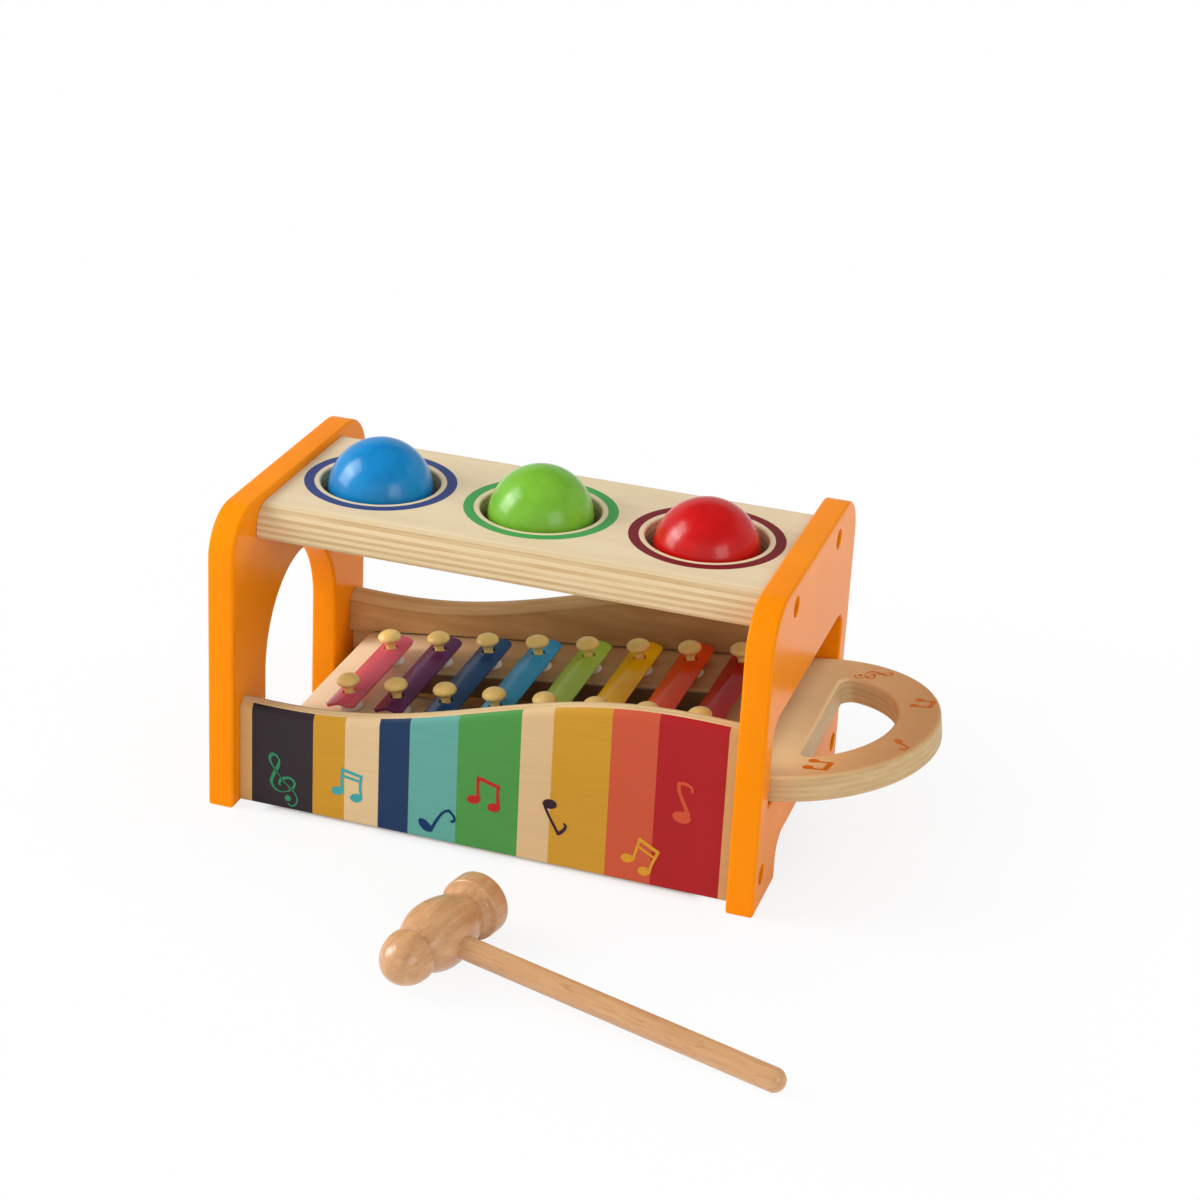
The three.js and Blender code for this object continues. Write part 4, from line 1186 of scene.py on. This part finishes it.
share = np.linspace(0, 1, 25)
swell, shrink = np.sin(share * np.pi / 2), np.cos(share * np.pi / 2)
lower = np.column_stack([
    LOW_NECK + (BARREL - LOW_NECK) * swell, LOW_NECK_AT + (BARREL_AT - LOW_NECK_AT) * share,
])
upper = np.column_stack([
    HIGH_NECK + (BARREL - HIGH_NECK) * shrink, BARREL_AT + (HIGH_NECK_AT - BARREL_AT) * share,
])
dome = arc(0, KNOB_AT, KNOB, 0, 90, 20, HEAD_LENGTH - KNOB_AT)
head_profile = np.vstack([
    [0, 0], [DISC - RIM, 0], arc(DISC - RIM, RIM, RIM, -90, 0, 6),
    arc(DISC - RIM, DISC_HEIGHT - RIM, RIM, 0, 90, 6), [10.6, 9.6], [9.6, 11.2], lower, upper[1:],
    [8.1, 48.4], [9.5, 49.1], arc(KNOB - RIM, KNOB_LOW, RIM, -90, 0, 6), dome[1:-1], [0, HEAD_LENGTH],
])
tip = arc(0, REACH - DOWEL, DOWEL, 0, 90, 12)
dowel_profile = np.vstack([[0, -TENON], [DOWEL, -TENON], [DOWEL, REACH - DOWEL], tip[1:-1], [0, REACH]])
head_shell, dowel_shell = turned_shell(head_profile, 72), turned_shell(dowel_profile, 40)

head_place = hammer_place()
rough = head_shell.points @ head_place[:3, :3].T + head_place[:3, 3]
settle = cad_middle("hammer_head") - (rough.min(axis=0) + rough.max(axis=0)) / 2
head_place[:3, 3] += settle
dowel_place = shifted(head_place, 0, 0, BARREL_AT) @ np.array(Matrix.Rotation(math.pi / 2, 4, "Y"))
for node, wood, shell, place in (
    ("hammer_head", "beech_head", head_shell, head_place),
    ("hammer_handle", "beech_dowel", dowel_shell, dowel_place),
):
    add_piece(f"{node}_turned", shell, place, "hammer", [node], [beech(wood, place)])
print("hammer set down by", settle.round(2).tolist())

# %% [markdown]
# ## Floor and backdrop
#
# The bench stands on a white sheet in front of a white backdrop. White paint under enough light
# to look white would wash out the colours, so the floor glows a little to the camera and in
# reflections, and keeps the soft shadow near the bench. In reflections the glow is also dimmed
# close to the bench, a painted shadow. Below the bench the floor is painted brown, a painted
# shade for the dark space under the wood. The world is white to the camera, and in reflections
# it is bright near the horizon, where the backdrop stands, and dim overhead.

# %% Floor and world
SHADED_X, SHADED_Y, REFLECTED_SHADOW_STRENGTH, FLOOR_HALF = 86.0, 58.0, 0.7, 6.0
SHADE_UNDER_BENCH, PALE_SHEET = (0.55, 0.38, 0.24, 1), (0.9, 0.9, 0.9, 1)
PLAIN, CAMERA_MORE, BACKDROP_MORE, CEILING_LESS = 0.5, 0.5, 0.02, 0.4


def white_floor():
    """A pale diffuse floor that glows white to the camera and reflections, but not under the bench, with
    painted shade: brown under the bench, and a dimmed glow in reflections near it.
    """
    material = bpy.data.materials.new("white_floor")
    material.use_nodes = True
    tree = material.node_tree
    tree.nodes.remove(tree.nodes["Principled BSDF"])
    rays = add_node(tree, "LightPath", {}).outputs
    seen = calc(tree, "MAXIMUM", rays["Is Camera Ray"], rays["Is Glossy Ray"])
    seen = calc(tree, "MAXIMUM", seen, rays["Is Transmission Ray"])
    spot = split(tree, millimetres(tree))
    past_end = calc(tree, "SUBTRACT", calc(tree, "ABSOLUTE", spot["X"]), SHADED_X)
    past_side = calc(tree, "SUBTRACT", calc(tree, "ABSOLUTE", spot["Y"]), SHADED_Y)
    away = calc(tree, "MAXIMUM", past_end, past_side)
    near = smooth_step(tree, away, start=0, end=12, height=0.82)
    far = smooth_step(tree, away, start=0, end=220, height=0.18)
    # Painted shadow: close to the bench the glow is dimmed, in reflections only.
    close = calc(tree, "SUBTRACT", 1.0, smooth_step(tree, away, start=25, end=95, height=1.0))
    reflected_shadow = calc(tree, "MULTIPLY", calc(tree, "MULTIPLY", rays["Is Glossy Ray"], close), REFLECTED_SHADOW_STRENGTH)
    share = calc(tree, "MULTIPLY", calc(tree, "ADD", near, far), calc(tree, "SUBTRACT", 1.0, reflected_shadow))
    # Painted shade: the floor under the bench is brown.
    sheet = smooth_step(tree, away, start=-6, end=4, height=1.0)
    tone = blend(tree, sheet, SHADE_UNDER_BENCH, PALE_SHEET)
    matte = add_node(tree, "BsdfDiffuse", {"Color": tone}).outputs[0]
    glow = add_node(tree, "Emission", {"Color": WHITE, "Strength": 1.0}).outputs[0]
    both = add_node(tree, "MixShader", {0: calc(tree, "MULTIPLY", seen, share), 1: matte, 2: glow}).outputs[0]
    tree.links.new(both, tree.nodes["Material Output"].inputs["Surface"])
    return material


floor_mesh = bpy.data.meshes.new("floor")
corners = [(x * FLOOR_HALF, y * FLOOR_HALF, 0) for x, y in ((-1, -1), (1, -1), (1, 1), (-1, 1))]
floor_mesh.from_pydata(corners, [], [(0, 1, 2, 3)])
floor_mesh.materials.append(white_floor())
floor = bpy.data.objects.new("floor", floor_mesh)
bpy.context.scene.collection.objects.link(floor)

world = bpy.data.worlds.new("studio")
world.use_nodes = True
studio = world.node_tree
sky = studio.nodes["Background"]
sky.inputs["Color"].default_value = WHITE
toward = add_node(studio, "TexCoord", {}).outputs["Object"]
ceiling = smooth_step(studio, split(studio, toward)["Z"], start=0.42, end=0.68, height=CEILING_LESS)
backdrop = calc(studio, "SUBTRACT", BACKDROP_MORE, ceiling)
rays = add_node(studio, "LightPath", {}).outputs
plain = calc(studio, "MULTIPLY_ADD", rays["Is Camera Ray"], CAMERA_MORE, PLAIN)
strength = calc(studio, "MULTIPLY_ADD", rays["Is Glossy Ray"], backdrop, plain)
studio.links.new(strength, sky.inputs["Strength"])
bpy.context.scene.world = world
print("floor and world ready")

# %% [markdown]
# ## Light
#
# Five soft boxes stand round the table: the main one high on the left, a lower one below it, one
# in front on the right, and two that only lift the shade behind and in front. Point lamps would
# be simpler, but their hard shadows don't suit a studio picture. The two helpers are kept out of
# reflections, so that balls and keys show only the boxes that the real ones show.

# %% Light
AIM_HEIGHT = 0.08
# Direction from the bench, distance and size in metres, watts, and whether gloss shows the box
SOFT_BOXES = {
    "key_box": ((-0.77, -0.24, 0.6), 1.8, 0.9, 13.6, True),
    "low_box": ((-0.9, -0.25, 0.35), 1.2, 0.6, 5.6, True),
    "front_box": ((0.77, -0.62, 0.32), 1.3, 0.6, 2.8, True),
    "rim_box": ((0.66, 0.42, 0.63), 1.2, 0.35, 2.0, False),
    "fill_box": ((0.1, -0.85, 0.45), 1.4, 1.0, 2.2, False),
}


def soft_box(name, toward, distance, size, watts, reflected):
    """A square area lamp at a distance along a direction from the bench, facing back to it."""
    lamp = bpy.data.lights.new(name, "AREA")
    lamp.shape = "SQUARE"
    lamp.size = size
    lamp.energy = watts
    box = bpy.data.objects.new(name, lamp)
    bpy.context.scene.collection.objects.link(box)
    direction = Vector(toward).normalized()
    facing = direction.to_track_quat("Z", "Y").to_matrix().to_4x4()
    facing.translation = direction * distance + Vector((SHIFT + [0, 0, AIM_HEIGHT]).tolist())
    box.matrix_world = facing
    box.visible_glossy = reflected


for name, settings in SOFT_BOXES.items():
    soft_box(name, *settings)
print("made", len(SOFT_BOXES), "soft boxes")

# %% [markdown]
# ## Camera
#
# The camera stands where the picture was taken, in front of the bench, to its right and above
# it. Its place, turn and focal length were fitted to the corners of the side panels, in pixels of
# the picture, which is surer than moving it by eye. The lens is shifted as the picture is cropped.

# %% Camera
SENSOR, PICTURE = 36.0, 1200
FOCAL_PIXELS, CENTRE_PIXEL = 2690.54, (546.95, 471.02)
STAND = np.array([320.6, -983.1, 563.5])
RIGHT, UP = np.array([0.9451, 0.3241, 0.0416]), np.array([-0.158, 0.3418, 0.9264])

lens = bpy.data.cameras.new("camera")
lens.sensor_width = SENSOR
lens.lens = SENSOR * FOCAL_PIXELS / PICTURE
lens.shift_x = (PICTURE / 2 - CENTRE_PIXEL[0]) / PICTURE
lens.shift_y = (CENTRE_PIXEL[1] - PICTURE / 2) / PICTURE
lens.clip_end = 20
camera = bpy.data.objects.new("camera", lens)
bpy.context.scene.collection.objects.link(camera)
stand = np.eye(4)
stand[:3, :3] = np.column_stack([RIGHT, UP, np.cross(RIGHT, UP)])
stand[:3, 3] = STAND / 1000 + SHIFT
camera.matrix_world = Matrix(stand.tolist())
bpy.context.scene.camera = camera
bpy.context.scene.view_settings.view_transform = "Standard"
print("camera at", stand[:3, 3].round(3).tolist())
